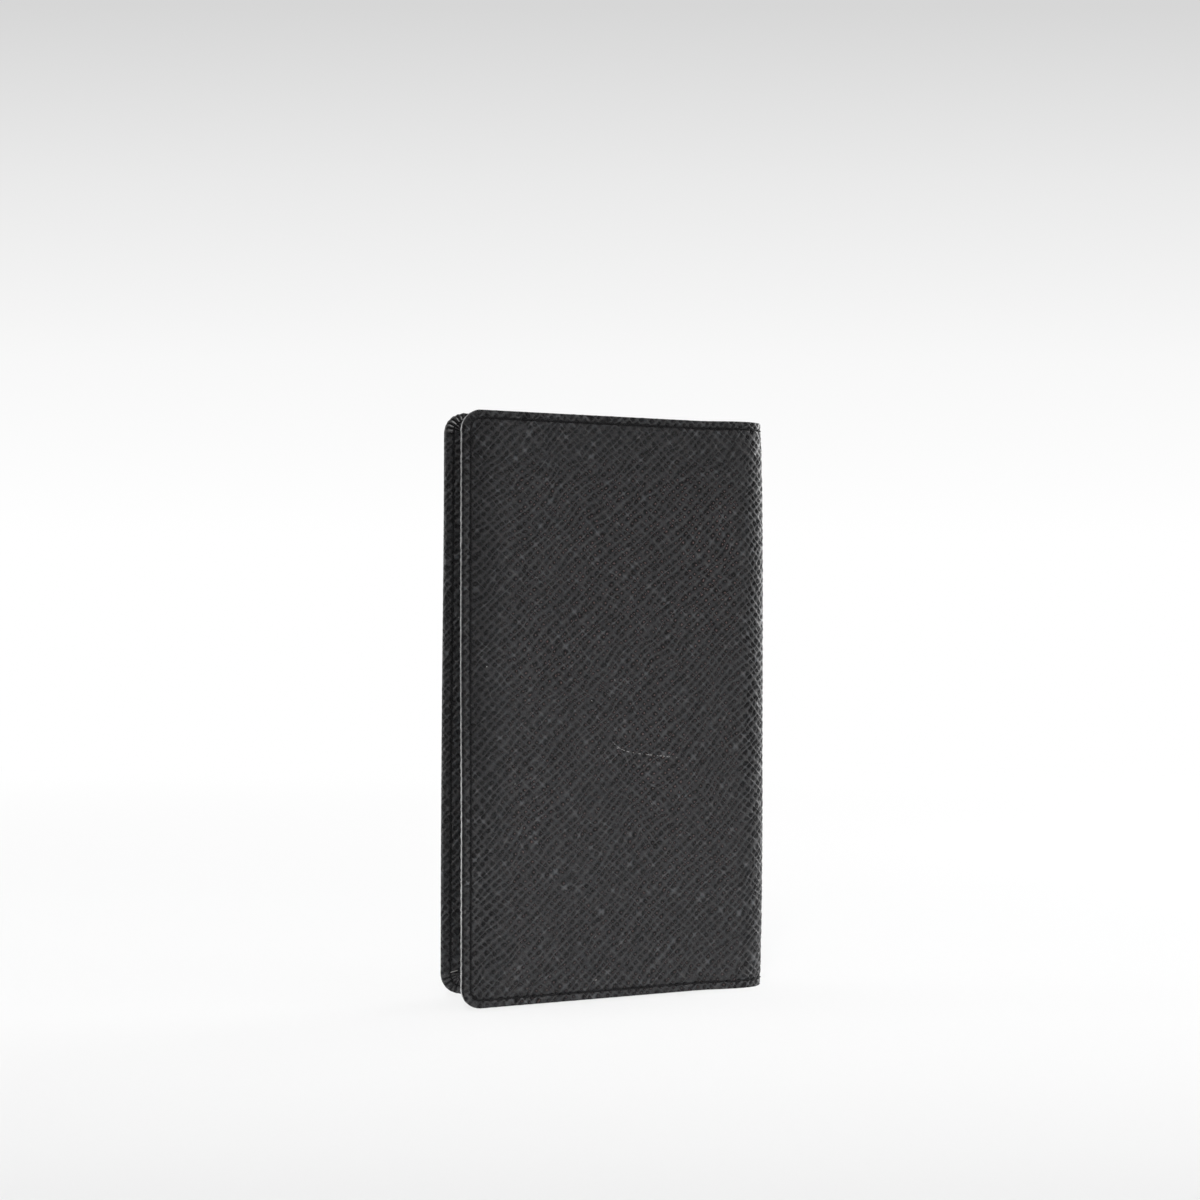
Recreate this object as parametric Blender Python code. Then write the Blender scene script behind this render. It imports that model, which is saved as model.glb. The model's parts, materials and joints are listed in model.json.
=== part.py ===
"""Pocket agenda cover in cross-grain leather, standing on its tail edge with its covers a little apart.

Every layer is laid out on one unrolled sheet: u runs from the end of the spine bend to the fore-edge and is
negative on the bend, z runs from the tail edge to the head edge, and depth runs from the outer face of the
leather inwards. place() rolls that sheet around the spine. The two covers hang on empties at their fold
lines, which turn them out by OPEN_ANGLE.
"""

import math

import bmesh
import bpy
from mathutils import Matrix, Vector

MM = 0.001

# Driving sizes of the cover
HEIGHT = 140.0 * MM
PANEL_WIDTH = 77.0 * MM
SPINE_RADIUS = 5.0 * MM
CORNER_RADIUS = 5.0 * MM
OPEN_ANGLE = math.radians(3.0)

# Sheet thicknesses
LEATHER_THICKNESS = 0.55 * MM
TURN_IN_THICKNESS = 0.45 * MM
BOARD_THICKNESS = 0.50 * MM
LINING_THICKNESS = 0.20 * MM
POCKET_THICKNESS = 0.30 * MM

# Turned-in edge and its seam
TURN_IN_WIDTH = 6.0 * MM
EDGE_ROUNDING = 0.40 * MM
SEAM_INSET = 2.2 * MM
THREAD_WIDTH = 0.45 * MM
THREAD_THICKNESS = 0.20 * MM
THREAD_CLEARANCE = 0.05 * MM

# Clearances
GLUE_LINE = 0.05 * MM
SHEET_EDGE_CLEARANCE = 0.15 * MM
FOLD_GAP = 0.30 * MM
BOARD_CLEARANCE = 0.30 * MM

# Layers behind the edge: where lining and pockets climb over the boards
CLIMB_WIDTH = 1.3 * MM
BOARD_HINGE_MARGIN = 1.5 * MM
POCKET_SLACK = 0.10 * MM

# Pockets
FRONT_POCKET_HINGE_MARGIN = 16.0 * MM
BACK_POCKET_WIDTH = 37.0 * MM
CARD_LENGTH = 85.6 * MM
CARD_CLEARANCE = 3.2 * MM
CARD_POCKET_SETBACK = 8.0 * MM
CARD_POCKET_STEP = 10.0 * MM
CARD_SEAM_INSET = 1.6 * MM

# Roundness of the meshes
BEND_STEPS = 4
SPINE_STEPS = 8
CORNER_STEPS = 6
ROUNDING_STEPS = 3
TIGHTEST_CORNER = 0.40 * MM
SMOOTH_ANGLE = math.radians(30.0)

# Sizes that follow
GROOVE_DEPTH = THREAD_THICKNESS + THREAD_CLEARANCE
GROOVE_HALF_WIDTH = THREAD_WIDTH / 2 + THREAD_CLEARANCE
LINING_EDGE_DEPTH = LEATHER_THICKNESS + GLUE_LINE
POCKET_EDGE_DEPTH = LINING_EDGE_DEPTH + LINING_THICKNESS + GLUE_LINE
TURN_IN_DEPTH = POCKET_EDGE_DEPTH + POCKET_THICKNESS + GLUE_LINE
EDGE_THICKNESS = TURN_IN_DEPTH + TURN_IN_THICKNESS
BOARD_DEPTH = LEATHER_THICKNESS + GLUE_LINE
LINING_DEPTH = BOARD_DEPTH + BOARD_THICKNESS + GLUE_LINE
POCKET_DEPTH = LINING_DEPTH + LINING_THICKNESS + POCKET_SLACK
REAR_CARD_DEPTH = POCKET_DEPTH + POCKET_THICKNESS + GLUE_LINE
FRONT_CARD_DEPTH = REAR_CARD_DEPTH + POCKET_THICKNESS + GLUE_LINE
CARD_SEAM_DEPTH = FRONT_CARD_DEPTH + POCKET_THICKNESS + GLUE_LINE
SHEET_EDGE_INSET = LEATHER_THICKNESS + SHEET_EDGE_CLEARANCE
CLIMB_START = TURN_IN_WIDTH + BOARD_CLEARANCE
CLIMB_END = CLIMB_START + CLIMB_WIDTH
BOARD_INSET = CLIMB_END + BOARD_CLEARANCE
CARD_POCKET_INSET = CLIMB_END + BOARD_CLEARANCE
CARD_POCKET_HEIGHT = CARD_LENGTH + 2 * CARD_CLEARANCE

# Fold lines: each quarter of the spine bend folds at its middle, on the outer face
FOLD_ANGLE = math.pi / 4
FOLD_U = -SPINE_RADIUS * FOLD_ANGLE
COVER_START_U = FOLD_U + FOLD_GAP / 2
SPINE_START_U = FOLD_U - FOLD_GAP / 2
SPINE_END_U = -SPINE_RADIUS * math.pi - SPINE_START_U
HINGE_X = SPINE_RADIUS * math.sin(FOLD_ANGLE)
HINGE_Y = SPINE_RADIUS * math.cos(FOLD_ANGLE)

# The spine's axis stands where the whole cover, opened by OPEN_ANGLE, is centred on the origin
FORE_EDGE_FROM_HINGE = (-PANEL_WIDTH - HINGE_X, HINGE_Y - SPINE_RADIUS + EDGE_THICKNESS - EDGE_ROUNDING)
FORE_EDGE_REACH = (
    HINGE_X
    + FORE_EDGE_FROM_HINGE[0] * math.cos(OPEN_ANGLE)
    - FORE_EDGE_FROM_HINGE[1] * math.sin(OPEN_ANGLE)
)
SPINE_AXIS_X = -(SPINE_RADIUS + FORE_EDGE_REACH) / 2

# Finishes: colour, roughness, metallic
BLACK_LEATHER = ((0.030, 0.029, 0.030, 1.0), 0.48, 0.0)
STIFF_BOARD = ((0.32, 0.27, 0.21, 1.0), 0.85, 0.0)
BLACK_LINING = ((0.020, 0.020, 0.021, 1.0), 0.75, 0.0)
POCKET_LEATHER = ((0.026, 0.025, 0.026, 1.0), 0.50, 0.0)
BLACK_THREAD = ((0.012, 0.012, 0.013, 1.0), 0.60, 0.0)


def place(u, z, depth):
    """Point of the unrolled sheet, rolled around the spine's axis with the front cover facing -Y."""
    radius = SPINE_RADIUS - depth
    if u >= 0:
        return Vector((-u, -radius, z))
    angle = -u / SPINE_RADIUS
    return Vector((radius * math.sin(angle), -radius * math.cos(angle), z))


def straight_column(u):
    """Edge points across the sheet at u: a function of the inset from the head edge."""
    def point(inset):
        return u, HEIGHT - inset
    return point


def corner_column(angle):
    """Edge points around the rounded fore-edge corner, from a right angle at the head edge to zero."""
    def point(inset):
        radius = max(CORNER_RADIUS - inset, TIGHTEST_CORNER)
        u = PANEL_WIDTH - inset - radius * (1 - math.cos(angle))
        z = HEIGHT - inset - radius * (1 - math.sin(angle))
        return u, z
    return point


def spread(first, last, steps):
    return [first + (last - first) * step / steps for step in range(steps + 1)]


def corner_columns():
    return [corner_column(angle) for angle in spread(math.pi / 2, 0, CORNER_STEPS)]


def cover_columns():
    """Columns of a sheet that starts at the fold line and ends at the fore-edge."""
    return [straight_column(u) for u in spread(COVER_START_U, 0, BEND_STEPS)] + corner_columns()


def flap_columns(start_u):
    """Columns of a flat sheet that starts at start_u and ends at the fore-edge."""
    return [straight_column(start_u)] + corner_columns()


def spine_columns():
    return [straight_column(u) for u in spread(SPINE_START_U, SPINE_END_U, SPINE_STEPS)]


def head_point(column, inset, depth):
    u, z = column(inset)
    return place(u, z, depth)


def tail_point(column, inset, depth):
    u, z = column(inset)
    return place(u, HEIGHT - z, depth)


class Shape:
    """Collects the corners and faces of one closed solid."""

    def __init__(self):
        self.points = []
        self.faces = []

    def row(self, points):
        first = len(self.points)
        self.points.extend(points)
        return list(range(first, len(self.points)))

    def bridge(self, row_a, row_b, closed=False):
        """Quads between two rows of equal length."""
        count = len(row_a)
        for i in range(count if closed else count - 1):
            j = (i + 1) % count
            self.faces.append((row_a[i], row_a[j], row_b[j], row_b[i]))

    def cap(self, row):
        self.faces.append(tuple(row))


def sheet(columns, profile, joined_at_fore_edge):
    """Solid whose edge profile, a list of (inset, depth), runs along the head, fore and tail edges.

    The profile starts on the outer face and ends on the inner face, and flat strips from head to tail close
    both. Without a fore-edge the sheet is cut straight at its last column, as it is at its first.
    """
    shape = Shape()
    head = [shape.row(head_point(column, *at) for at in profile) for column in columns]
    tail = [shape.row(tail_point(column, *at) for at in profile) for column in columns]
    for i in range(len(columns) - 1):
        shape.bridge(head[i], head[i + 1])
        shape.bridge(tail[i], tail[i + 1])
        for side in (0, -1):
            shape.faces.append((head[i][side], head[i + 1][side], tail[i + 1][side], tail[i][side]))
    ends = [0] if joined_at_fore_edge else [0, -1]
    if joined_at_fore_edge:
        shape.bridge(head[-1], tail[-1])
    for end in ends:
        if len(profile) > 2:
            shape.cap(head[end])
            shape.cap(tail[end])
        shape.faces.append((head[end][0], head[end][-1], tail[end][-1], tail[end][0]))
    return shape


def band(rows):
    """Bar with a closed section, given as rows of section points along its run."""
    shape = Shape()
    indexed = [shape.row(row) for row in rows]
    for row_a, row_b in zip(indexed, indexed[1:]):
        shape.bridge(row_a, row_b, closed=True)
    shape.cap(indexed[0])
    shape.cap(indexed[-1])
    return shape


def thread_section(inset, depth):
    """Corners of a thread's section, with depth at its outer side."""
    half = THREAD_WIDTH / 2
    return [
        (inset - half, depth),
        (inset + half, depth),
        (inset + half, depth + THREAD_THICKNESS),
        (inset - half, depth + THREAD_THICKNESS),
    ]


def seam(columns, section, head=True, tail=True):
    """Thread along the head edge, the tail edge, or from one to the other around the fore-edge."""
    rows = []
    if head:
        rows += [[head_point(column, *at) for at in section] for column in columns]
    if tail:
        rows += [[tail_point(column, *at) for at in section] for column in reversed(columns)]
    return band(rows)


def rounding(inset_centre, depth_centre, first_angle, last_angle):
    """Quarter turn of the folded edge, as (inset, depth) points."""
    return [
        (inset_centre - EDGE_ROUNDING * math.cos(angle), depth_centre - EDGE_ROUNDING * math.sin(angle))
        for angle in spread(first_angle, last_angle, ROUNDING_STEPS)
    ]


def folded_edge_profile():
    """Outer leather, its fold and its turned-in edge, with a groove on each face for the seam."""
    near = SEAM_INSET - GROOVE_HALF_WIDTH
    far = SEAM_INSET + GROOVE_HALF_WIDTH
    outer = [(TURN_IN_WIDTH, 0), (far, 0), (far, GROOVE_DEPTH), (near, GROOVE_DEPTH), (near, 0)]
    fold = rounding(EDGE_ROUNDING, EDGE_ROUNDING, math.pi / 2, 0)
    fold += rounding(EDGE_ROUNDING, EDGE_THICKNESS - EDGE_ROUNDING, 0, -math.pi / 2)
    groove_floor = EDGE_THICKNESS - GROOVE_DEPTH
    inner = [(near, EDGE_THICKNESS), (near, groove_floor), (far, groove_floor), (far, EDGE_THICKNESS)]
    free_edge = [(TURN_IN_WIDTH, EDGE_THICKNESS), (TURN_IN_WIDTH, TURN_IN_DEPTH)]
    slot = [(LEATHER_THICKNESS, TURN_IN_DEPTH), (LEATHER_THICKNESS, LEATHER_THICKNESS)]
    return outer + fold + inner + free_edge + slot + [(TURN_IN_WIDTH, LEATHER_THICKNESS)]


def climbing_profile(edge_depth, raised_depth, thickness):
    """Sheet with its edge in the fold, which climbs to raised_depth over the boards' edge."""
    lower = [(CLIMB_END, raised_depth), (CLIMB_START, edge_depth), (SHEET_EDGE_INSET, edge_depth)]
    upper = [(inset, depth + thickness) for inset, depth in reversed(lower)]
    return lower + upper


def flat_profile(inset, depth, thickness):
    return [(inset, depth), (inset, depth + thickness)]


LINING_PROFILE = climbing_profile(LINING_EDGE_DEPTH, LINING_DEPTH, LINING_THICKNESS)
POCKET_PROFILE = climbing_profile(POCKET_EDGE_DEPTH, POCKET_DEPTH, POCKET_THICKNESS)
BOARD_PROFILE = flat_profile(BOARD_INSET, BOARD_DEPTH, BOARD_THICKNESS)
OUTER_THREAD = thread_section(SEAM_INSET, 0)
INNER_THREAD = thread_section(SEAM_INSET, EDGE_THICKNESS - THREAD_THICKNESS)


def plate(start_u, end_u, low_z, high_z, depth, thickness):
    """Flat rectangular panel lying on the inner face."""
    corners = [(start_u, low_z), (end_u, low_z), (end_u, high_z), (start_u, high_z)]
    return band([[place(u, z, level) for u, z in corners] for level in (depth, depth + thickness)])


def card_pocket(opening_u, depth):
    low = (HEIGHT - CARD_POCKET_HEIGHT) / 2
    return plate(opening_u, PANEL_WIDTH - CARD_POCKET_INSET, low, HEIGHT - low, depth, POCKET_THICKNESS)


def card_seam(opening_u):
    """Thread along the closed sides of the card pockets, from one end of the opening to the other."""
    high = (HEIGHT + CARD_POCKET_HEIGHT) / 2 - CARD_SEAM_INSET
    fore = PANEL_WIDTH - CARD_POCKET_INSET - CARD_SEAM_INSET
    half = THREAD_WIDTH / 2
    rows = []
    for u, z, widen_u in ((opening_u, high, 0), (fore, high, 1), (fore, HEIGHT - high, 1),
                          (opening_u, HEIGHT - high, 0)):
        upward = 1 if z == high else -1
        inner = (u - half * widen_u, z - half * upward)
        outer = (u + half * widen_u, z + half * upward)
        low_level = CARD_SEAM_DEPTH
        high_level = CARD_SEAM_DEPTH + THREAD_THICKNESS
        rows.append([place(*inner, low_level), place(*outer, low_level),
                     place(*outer, high_level), place(*inner, high_level)])
    return band(rows)


def make_material(name, finish):
    colour, roughness, metallic = finish
    material = bpy.data.materials.new(name)
    material.use_nodes = True
    shader = material.node_tree.nodes["Principled BSDF"]
    shader.inputs["Base Color"].default_value = colour
    shader.inputs["Roughness"].default_value = roughness
    shader.inputs["Metallic"].default_value = metallic
    return material


class Body:
    """Group of pieces that move as one, with its empty on the fold line it turns about."""

    def __init__(self, name, hinge_y, turn, mirrored=False):
        self.base = Vector((HINGE_X, hinge_y, 0)) if hinge_y else Vector((0, 0, 0))
        self.mirrored = mirrored
        self.empty = bpy.data.objects.new(name, None)
        self.empty.location = self.base + Vector((SPINE_AXIS_X, 0, 0))
        self.empty.rotation_euler = (0, 0, turn)
        bpy.context.scene.collection.objects.link(self.empty)

    def add(self, name, shape, finish):
        """Turn a shape into an object that hangs on this body's empty."""
        mesh = bpy.data.meshes.new(name)
        mesh.from_pydata(shape.points, [], shape.faces)
        if self.mirrored:
            mesh.transform(Matrix.Scale(-1, 4, Vector((0, 1, 0))))
        mesh.transform(Matrix.Translation(-self.base))
        solid = bmesh.new()
        solid.from_mesh(mesh)
        bmesh.ops.recalc_face_normals(solid, faces=solid.faces)
        solid.to_mesh(mesh)
        solid.free()
        mesh.shade_smooth()
        mesh.set_sharp_from_angle(angle=SMOOTH_ANGLE)
        mesh.materials.append(make_material(name, finish))
        piece = bpy.data.objects.new(name, mesh)
        piece.parent = self.empty
        bpy.context.scene.collection.objects.link(piece)


def add_cover(body, name, pocket_start_u):
    """Layers of one cover, from the outer leather inwards, with the seam around its edge."""
    body.add(f"{name}_cover_leather", sheet(cover_columns(), folded_edge_profile(), True), BLACK_LEATHER)
    body.add(f"{name}_board", sheet(flap_columns(BOARD_HINGE_MARGIN), BOARD_PROFILE, True), STIFF_BOARD)
    body.add(f"{name}_lining", sheet(cover_columns(), LINING_PROFILE, True), BLACK_LINING)
    body.add(f"{name}_pocket_flap", sheet(flap_columns(pocket_start_u), POCKET_PROFILE, True), POCKET_LEATHER)
    body.add(f"{name}_seam_outside", seam(cover_columns(), OUTER_THREAD), BLACK_THREAD)
    body.add(f"{name}_seam_inside", seam(cover_columns(), INNER_THREAD), BLACK_THREAD)


def add_card_pockets(body):
    rear_opening = FRONT_POCKET_HINGE_MARGIN + CARD_POCKET_SETBACK
    front_opening = rear_opening + CARD_POCKET_STEP
    body.add("card_pocket_rear", card_pocket(rear_opening, REAR_CARD_DEPTH), POCKET_LEATHER)
    body.add("card_pocket_front", card_pocket(front_opening, FRONT_CARD_DEPTH), POCKET_LEATHER)
    body.add("card_pocket_seam", card_seam(front_opening), BLACK_THREAD)


def add_spine(body):
    """Layers of the spine between the two fold lines."""
    columns = spine_columns()
    body.add("spine_leather", sheet(columns, folded_edge_profile(), False), BLACK_LEATHER)
    body.add("spine_reinforcement", sheet(columns, BOARD_PROFILE, False), STIFF_BOARD)
    body.add("spine_lining", sheet(columns, LINING_PROFILE, False), BLACK_LINING)
    body.add("spine_head_seam_outside", seam(columns, OUTER_THREAD, tail=False), BLACK_THREAD)
    body.add("spine_tail_seam_outside", seam(columns, OUTER_THREAD, head=False), BLACK_THREAD)
    body.add("spine_head_seam_inside", seam(columns, INNER_THREAD, tail=False), BLACK_THREAD)
    body.add("spine_tail_seam_inside", seam(columns, INNER_THREAD, head=False), BLACK_THREAD)


def main():
    for existing in list(bpy.data.objects):
        bpy.data.objects.remove(existing)
    spine = Body("spine_root", 0, 0)
    front = Body("front_fold", -HINGE_Y, OPEN_ANGLE)
    back = Body("back_fold", HINGE_Y, -OPEN_ANGLE, mirrored=True)
    add_spine(spine)
    add_cover(front, "front", FRONT_POCKET_HINGE_MARGIN)
    add_card_pockets(front)
    add_cover(back, "back", PANEL_WIDTH - BACK_POCKET_WIDTH)


main()
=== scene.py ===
"""Looks of a pocket agenda cover in black cross-grain leather, standing on its tail edge.

Every sheet is cut flat on a bench and then rolled into place. On the bench X is u, the way from the end of
the spine bend to the fore-edge (negative on the bend), Y is the height above the tail edge, and Z points
out of the cover, so that a layer's depth is -Z. Layout.place() rolls those numbers around the spine and
opens the cover. The hide, the lining and the seams are each made as a front and a back half that meet at the
middle of the spine, and each half bends over its own fold.
"""

import json
import logging
import math
import random
from contextlib import contextmanager
from dataclasses import dataclass, field, replace
from enum import Enum
from typing import Callable, Iterator

import bpy
import numpy as np
from mathutils import Matrix, Vector

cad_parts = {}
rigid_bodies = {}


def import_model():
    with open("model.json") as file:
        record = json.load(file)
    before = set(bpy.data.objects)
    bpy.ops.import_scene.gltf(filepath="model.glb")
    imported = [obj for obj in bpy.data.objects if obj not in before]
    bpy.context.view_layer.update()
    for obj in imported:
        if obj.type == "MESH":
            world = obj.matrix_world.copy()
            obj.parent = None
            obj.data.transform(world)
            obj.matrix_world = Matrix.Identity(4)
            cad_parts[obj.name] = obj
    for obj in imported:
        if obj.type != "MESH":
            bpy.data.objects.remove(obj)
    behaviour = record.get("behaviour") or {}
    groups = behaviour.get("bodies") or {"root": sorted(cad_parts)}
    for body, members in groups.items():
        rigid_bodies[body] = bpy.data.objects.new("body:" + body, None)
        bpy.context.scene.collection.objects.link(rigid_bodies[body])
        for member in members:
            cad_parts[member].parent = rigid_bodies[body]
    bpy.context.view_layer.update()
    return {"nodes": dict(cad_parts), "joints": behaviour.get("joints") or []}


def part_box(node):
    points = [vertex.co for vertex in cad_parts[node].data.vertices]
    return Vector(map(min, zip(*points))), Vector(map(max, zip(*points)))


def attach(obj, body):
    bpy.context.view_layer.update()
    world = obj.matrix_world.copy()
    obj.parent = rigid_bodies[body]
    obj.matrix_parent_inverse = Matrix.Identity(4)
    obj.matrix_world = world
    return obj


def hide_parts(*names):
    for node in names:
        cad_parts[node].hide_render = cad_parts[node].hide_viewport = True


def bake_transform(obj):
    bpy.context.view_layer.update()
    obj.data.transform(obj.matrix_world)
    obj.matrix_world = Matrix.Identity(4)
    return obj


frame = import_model()

Array = np.ndarray
Colour = tuple[float, float, float]
Place = tuple[float, float, float]
Piece = bpy.types.Object
Mesh = bpy.types.Mesh
Material = bpy.types.Material
Socket = bpy.types.NodeSocket
log = logging.getLogger("agenda_cover")

MM = 0.001
GRAIN_MAP = "grain"
PLACES_PER_METRE = 1000.0
ON_LINE = 1e-9
CORNER_RADIUS = 5.0 * MM
FRONT_FLAP_OPENING = 16.0 * MM
BACK_FLAP_WIDTH = 37.0 * MM

CELL_PRIMES = (73856093, 19349663, 83492791)
STIRRING = ((13, 1274126177), (15, 951274213))
LAST_STIR = 16
WORD = 0xFFFFFFFF
FINEST = 0xFFFFFF


class Labelled(Enum):
    """Named options that the CAD nodes write in small letters."""

    @property
    def label(self) -> str:
        """Name of the option as the CAD nodes write it."""
        return self.name.lower()


class Side(Labelled):
    """The two covers, with the way their outer face points along Y."""

    FRONT = -1.0
    BACK = 1.0

    @property
    def body(self) -> str:
        """Body that the cover rides on."""
        return f"{self.label}_cover"


class Face(Labelled):
    """The two faces of the turned edge, with the way the depth changes as thread rises from them."""

    OUTSIDE = -1.0
    INSIDE = 1.0


def smooth(x: Array | float) -> Array:
    """Ease from 0 to 1 while x goes from 0 to 1."""
    t = np.clip(x, 0.0, 1.0)
    return t * t * (3.0 - 2.0 * t)


def bell(x: Array, middle: float, reach: float) -> Array:
    """Swell to 1 at the middle and fade to both sides."""
    return np.exp(-(((x - middle) / reach) ** 2))


@dataclass(frozen=True)
class Ease:
    """Smooth way from one value to another, while a number goes from the start to the end of its range."""

    start: float
    end: float
    first: float = 0.0
    last: float = 1.0

    def __call__(self, x: Array | float) -> Array:
        """Give the value for each number."""
        return self.first + (self.last - self.first) * smooth((x - self.start) / (self.end - self.start))


def cell_random(a: Array, b: Array, seed: int) -> Array:
    """One number from 0 to 1 for each whole-numbered cell.

    Args:
        a: First whole number of each cell.
        b: Second whole number of each cell.
        seed: Picks one of many such tables.

    Returns:
        Numbers without any visible order, the same on each run.
    """
    first, second, third = CELL_PRIMES
    mixed = ((a.astype(np.int64) * first) ^ (b.astype(np.int64) * second) ^ (seed * third)) & WORD
    for shift, factor in STIRRING:
        mixed = ((mixed ^ (mixed >> shift)) * factor) & WORD
    return ((mixed ^ (mixed >> LAST_STIR)) & FINEST) / (FINEST + 1.0)


def soft_noise(x: Array, y: Array, seed: int) -> Array:
    """Smooth noise from 0 to 1 with one swell per unit of x and y.

    Args:
        x: First coordinate, in swells.
        y: Second coordinate, in swells.
        seed: Picks one of many such fields.

    Returns:
        The noise at each point.
    """
    left, low = np.floor(x), np.floor(y)
    fx, fy = smooth(x - left), smooth(y - low)
    near = cell_random(left, low, seed) * (1 - fx) + cell_random(left + 1, low, seed) * fx
    far = cell_random(left, low + 1, seed) * (1 - fx) + cell_random(left + 1, low + 1, seed) * fx
    return near * (1 - fy) + far * fy


@dataclass(frozen=True)
class Layers:
    """Thicknesses and insets of the sheets that make up a cover, in metres."""

    leather: float = 0.55 * MM
    turn_in: float = 0.45 * MM
    lining: float = 0.20 * MM
    pocket: float = 0.30 * MM
    board: float = 0.50 * MM
    glue: float = 0.05 * MM
    pocket_slack: float = 0.10 * MM
    turn_in_width: float = 6.0 * MM
    fold_rounding: float = 0.40 * MM
    seam_inset: float = 2.2 * MM
    seam_inset_ends: float = 1.9 * MM
    sheet_edge_inset: float = 0.70 * MM
    climb_start: float = 6.3 * MM
    climb_end: float = 7.6 * MM
    card_inset: float = 7.9 * MM

    @property
    def lining_edge(self) -> float:
        """Depth of the lining in the turned edge."""
        return self.leather + self.glue

    @property
    def lining_middle(self) -> float:
        """Depth of the lining over the board."""
        return self.leather + 2 * self.glue + self.board

    @property
    def pocket_edge(self) -> float:
        """Depth of the pocket flap in the turned edge."""
        return self.lining_edge + self.lining + self.glue

    @property
    def pocket_middle(self) -> float:
        """Depth of the pocket flap over the board."""
        return self.lining_middle + self.lining + self.pocket_slack

    @property
    def turn_in_under(self) -> float:
        """Depth of the turned-in leather's under side."""
        return self.pocket_edge + self.pocket + self.glue

    @property
    def edge(self) -> float:
        """Whole thickness of the turned edge."""
        return self.turn_in_under + self.turn_in


@dataclass(frozen=True)
class Layout:
    """Rolls bench numbers around the spine for one side of the cover."""

    side: Side
    height: float
    panel_width: float
    radius: float
    corner_radius: float
    open_angle: float
    axis_x: float
    fold_angle: float = math.pi / 4
    bend_start: float = math.radians(6.0)
    bend_end: float = math.radians(78.0)
    spine_swell: float = 0.35 * MM
    spine_bulge: float = 0.83 * MM
    bulge_reach_head: float = 11.0 * MM
    bulge_reach_tail: float = 18.0 * MM
    spine_dip: float = 0.30 * MM
    dip_middle: float = -2.0 * MM
    dip_reach: float = 4.2 * MM
    spine_flare: float = 0.38 * MM
    flare_reach: float = 15.0 * MM
    floor_lift: float = 0.34 * MM
    head_draw: float = 0.0
    tail_draw: float = 0.30 * MM
    head_part: Ease = Ease(0.20, 0.90)
    tail_part: Ease = Ease(0.62, 0.27)
    fore_edge_lift: float = 0.0

    @property
    def middle_u(self) -> float:
        """Bench place of the middle of the spine."""
        return -self.radius * math.pi / 2

    @property
    def core(self) -> "Core":
        """Part of the bench within the centres of the rounded fore-edge corners."""
        radius = self.corner_radius
        return Core(-math.inf, self.panel_width - radius, radius, self.height - radius)

    def bulge(self, angle: Array, z: Array) -> Array:
        """How far the spine swells out, by angle and height, most between its sewn ends."""
        from_head = np.clip(self.height - z, 0.0, None) / self.bulge_reach_head
        from_tail = np.clip(z, 0.0, None) / self.bulge_reach_tail
        between = 1 - np.exp(-np.minimum(from_head, from_tail))
        return np.sin(angle) ** 2 * (self.spine_swell + self.spine_bulge * between)

    def flare(self, u: Array, z: Array) -> Array:
        """How far head and tail spread up and down towards the spine."""
        end = 2 * z / self.height - 1
        return self.spine_flare * end**3 * smooth(1 - u / self.flare_reach)

    def place(self, u: Array, z: Array, depth: Array) -> Array:
        """Roll bench numbers into the frame.

        Args:
            u: Way from the end of the spine bend towards the fore-edge.
            z: Height above the tail edge.
            depth: Depth below the outer face.

        Returns:
            One row of x, y and z for each point.
        """
        u, z, depth = np.broadcast_arrays(*(np.asarray(v, float) for v in (u, z, depth)))
        rise = z / self.height
        drawn = self.head_draw * self.head_part(rise) + self.tail_draw * self.tail_part(rise)
        z = z + self.flare(u, z) + self.floor_lift
        u = u - drawn * np.clip(u, 0.0, None) / self.panel_width
        angle = np.clip(-u, 0.0, None) / self.radius
        reach = self.radius - depth + self.bulge(angle, z)
        along = reach * np.sin(angle) - np.clip(u, 0.0, None)
        out = reach * np.cos(angle) - self.spine_dip * bell(u, self.dip_middle, self.dip_reach)
        hinge = self.radius * math.sin(self.fold_angle)
        turn = self.open_angle * (1 - Ease(self.bend_start, self.bend_end)(angle))
        x = hinge + (along - hinge) * np.cos(turn) + (out - hinge) * np.sin(turn)
        y = hinge - (along - hinge) * np.sin(turn) + (out - hinge) * np.cos(turn)
        lift = self.fore_edge_lift * np.clip(u, 0.0, None) / self.panel_width
        return np.stack([self.axis_x + x, self.side.value * y, z + lift], axis=-1)

    def roll(self, piece: Piece) -> None:
        """Take a piece from the bench into the frame, with its faces pointing outwards."""
        flat = read_points(piece.data)
        write_points(piece.data, self.place(flat[:, 0], flat[:, 1], -flat[:, 2]))
        turn_outwards(piece)

    def bend_over_fold(self, piece: Piece) -> None:
        """Bake a piece's transform into its mesh."""
        ends = [
            Vector(self.place(-self.radius * angle, self.height / 2, 0.0))
            for angle in (self.bend_start, self.bend_end)
        ]
        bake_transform(piece)


@dataclass(frozen=True)
class BackStance:
    """How the back cover stands behind the front one."""

    stagger: float = 0.86 * MM
    head_draw: float = 0.65 * MM
    tail_draw: float = 0.15 * MM
    fore_edge_lift: float = 0.85 * MM


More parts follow.
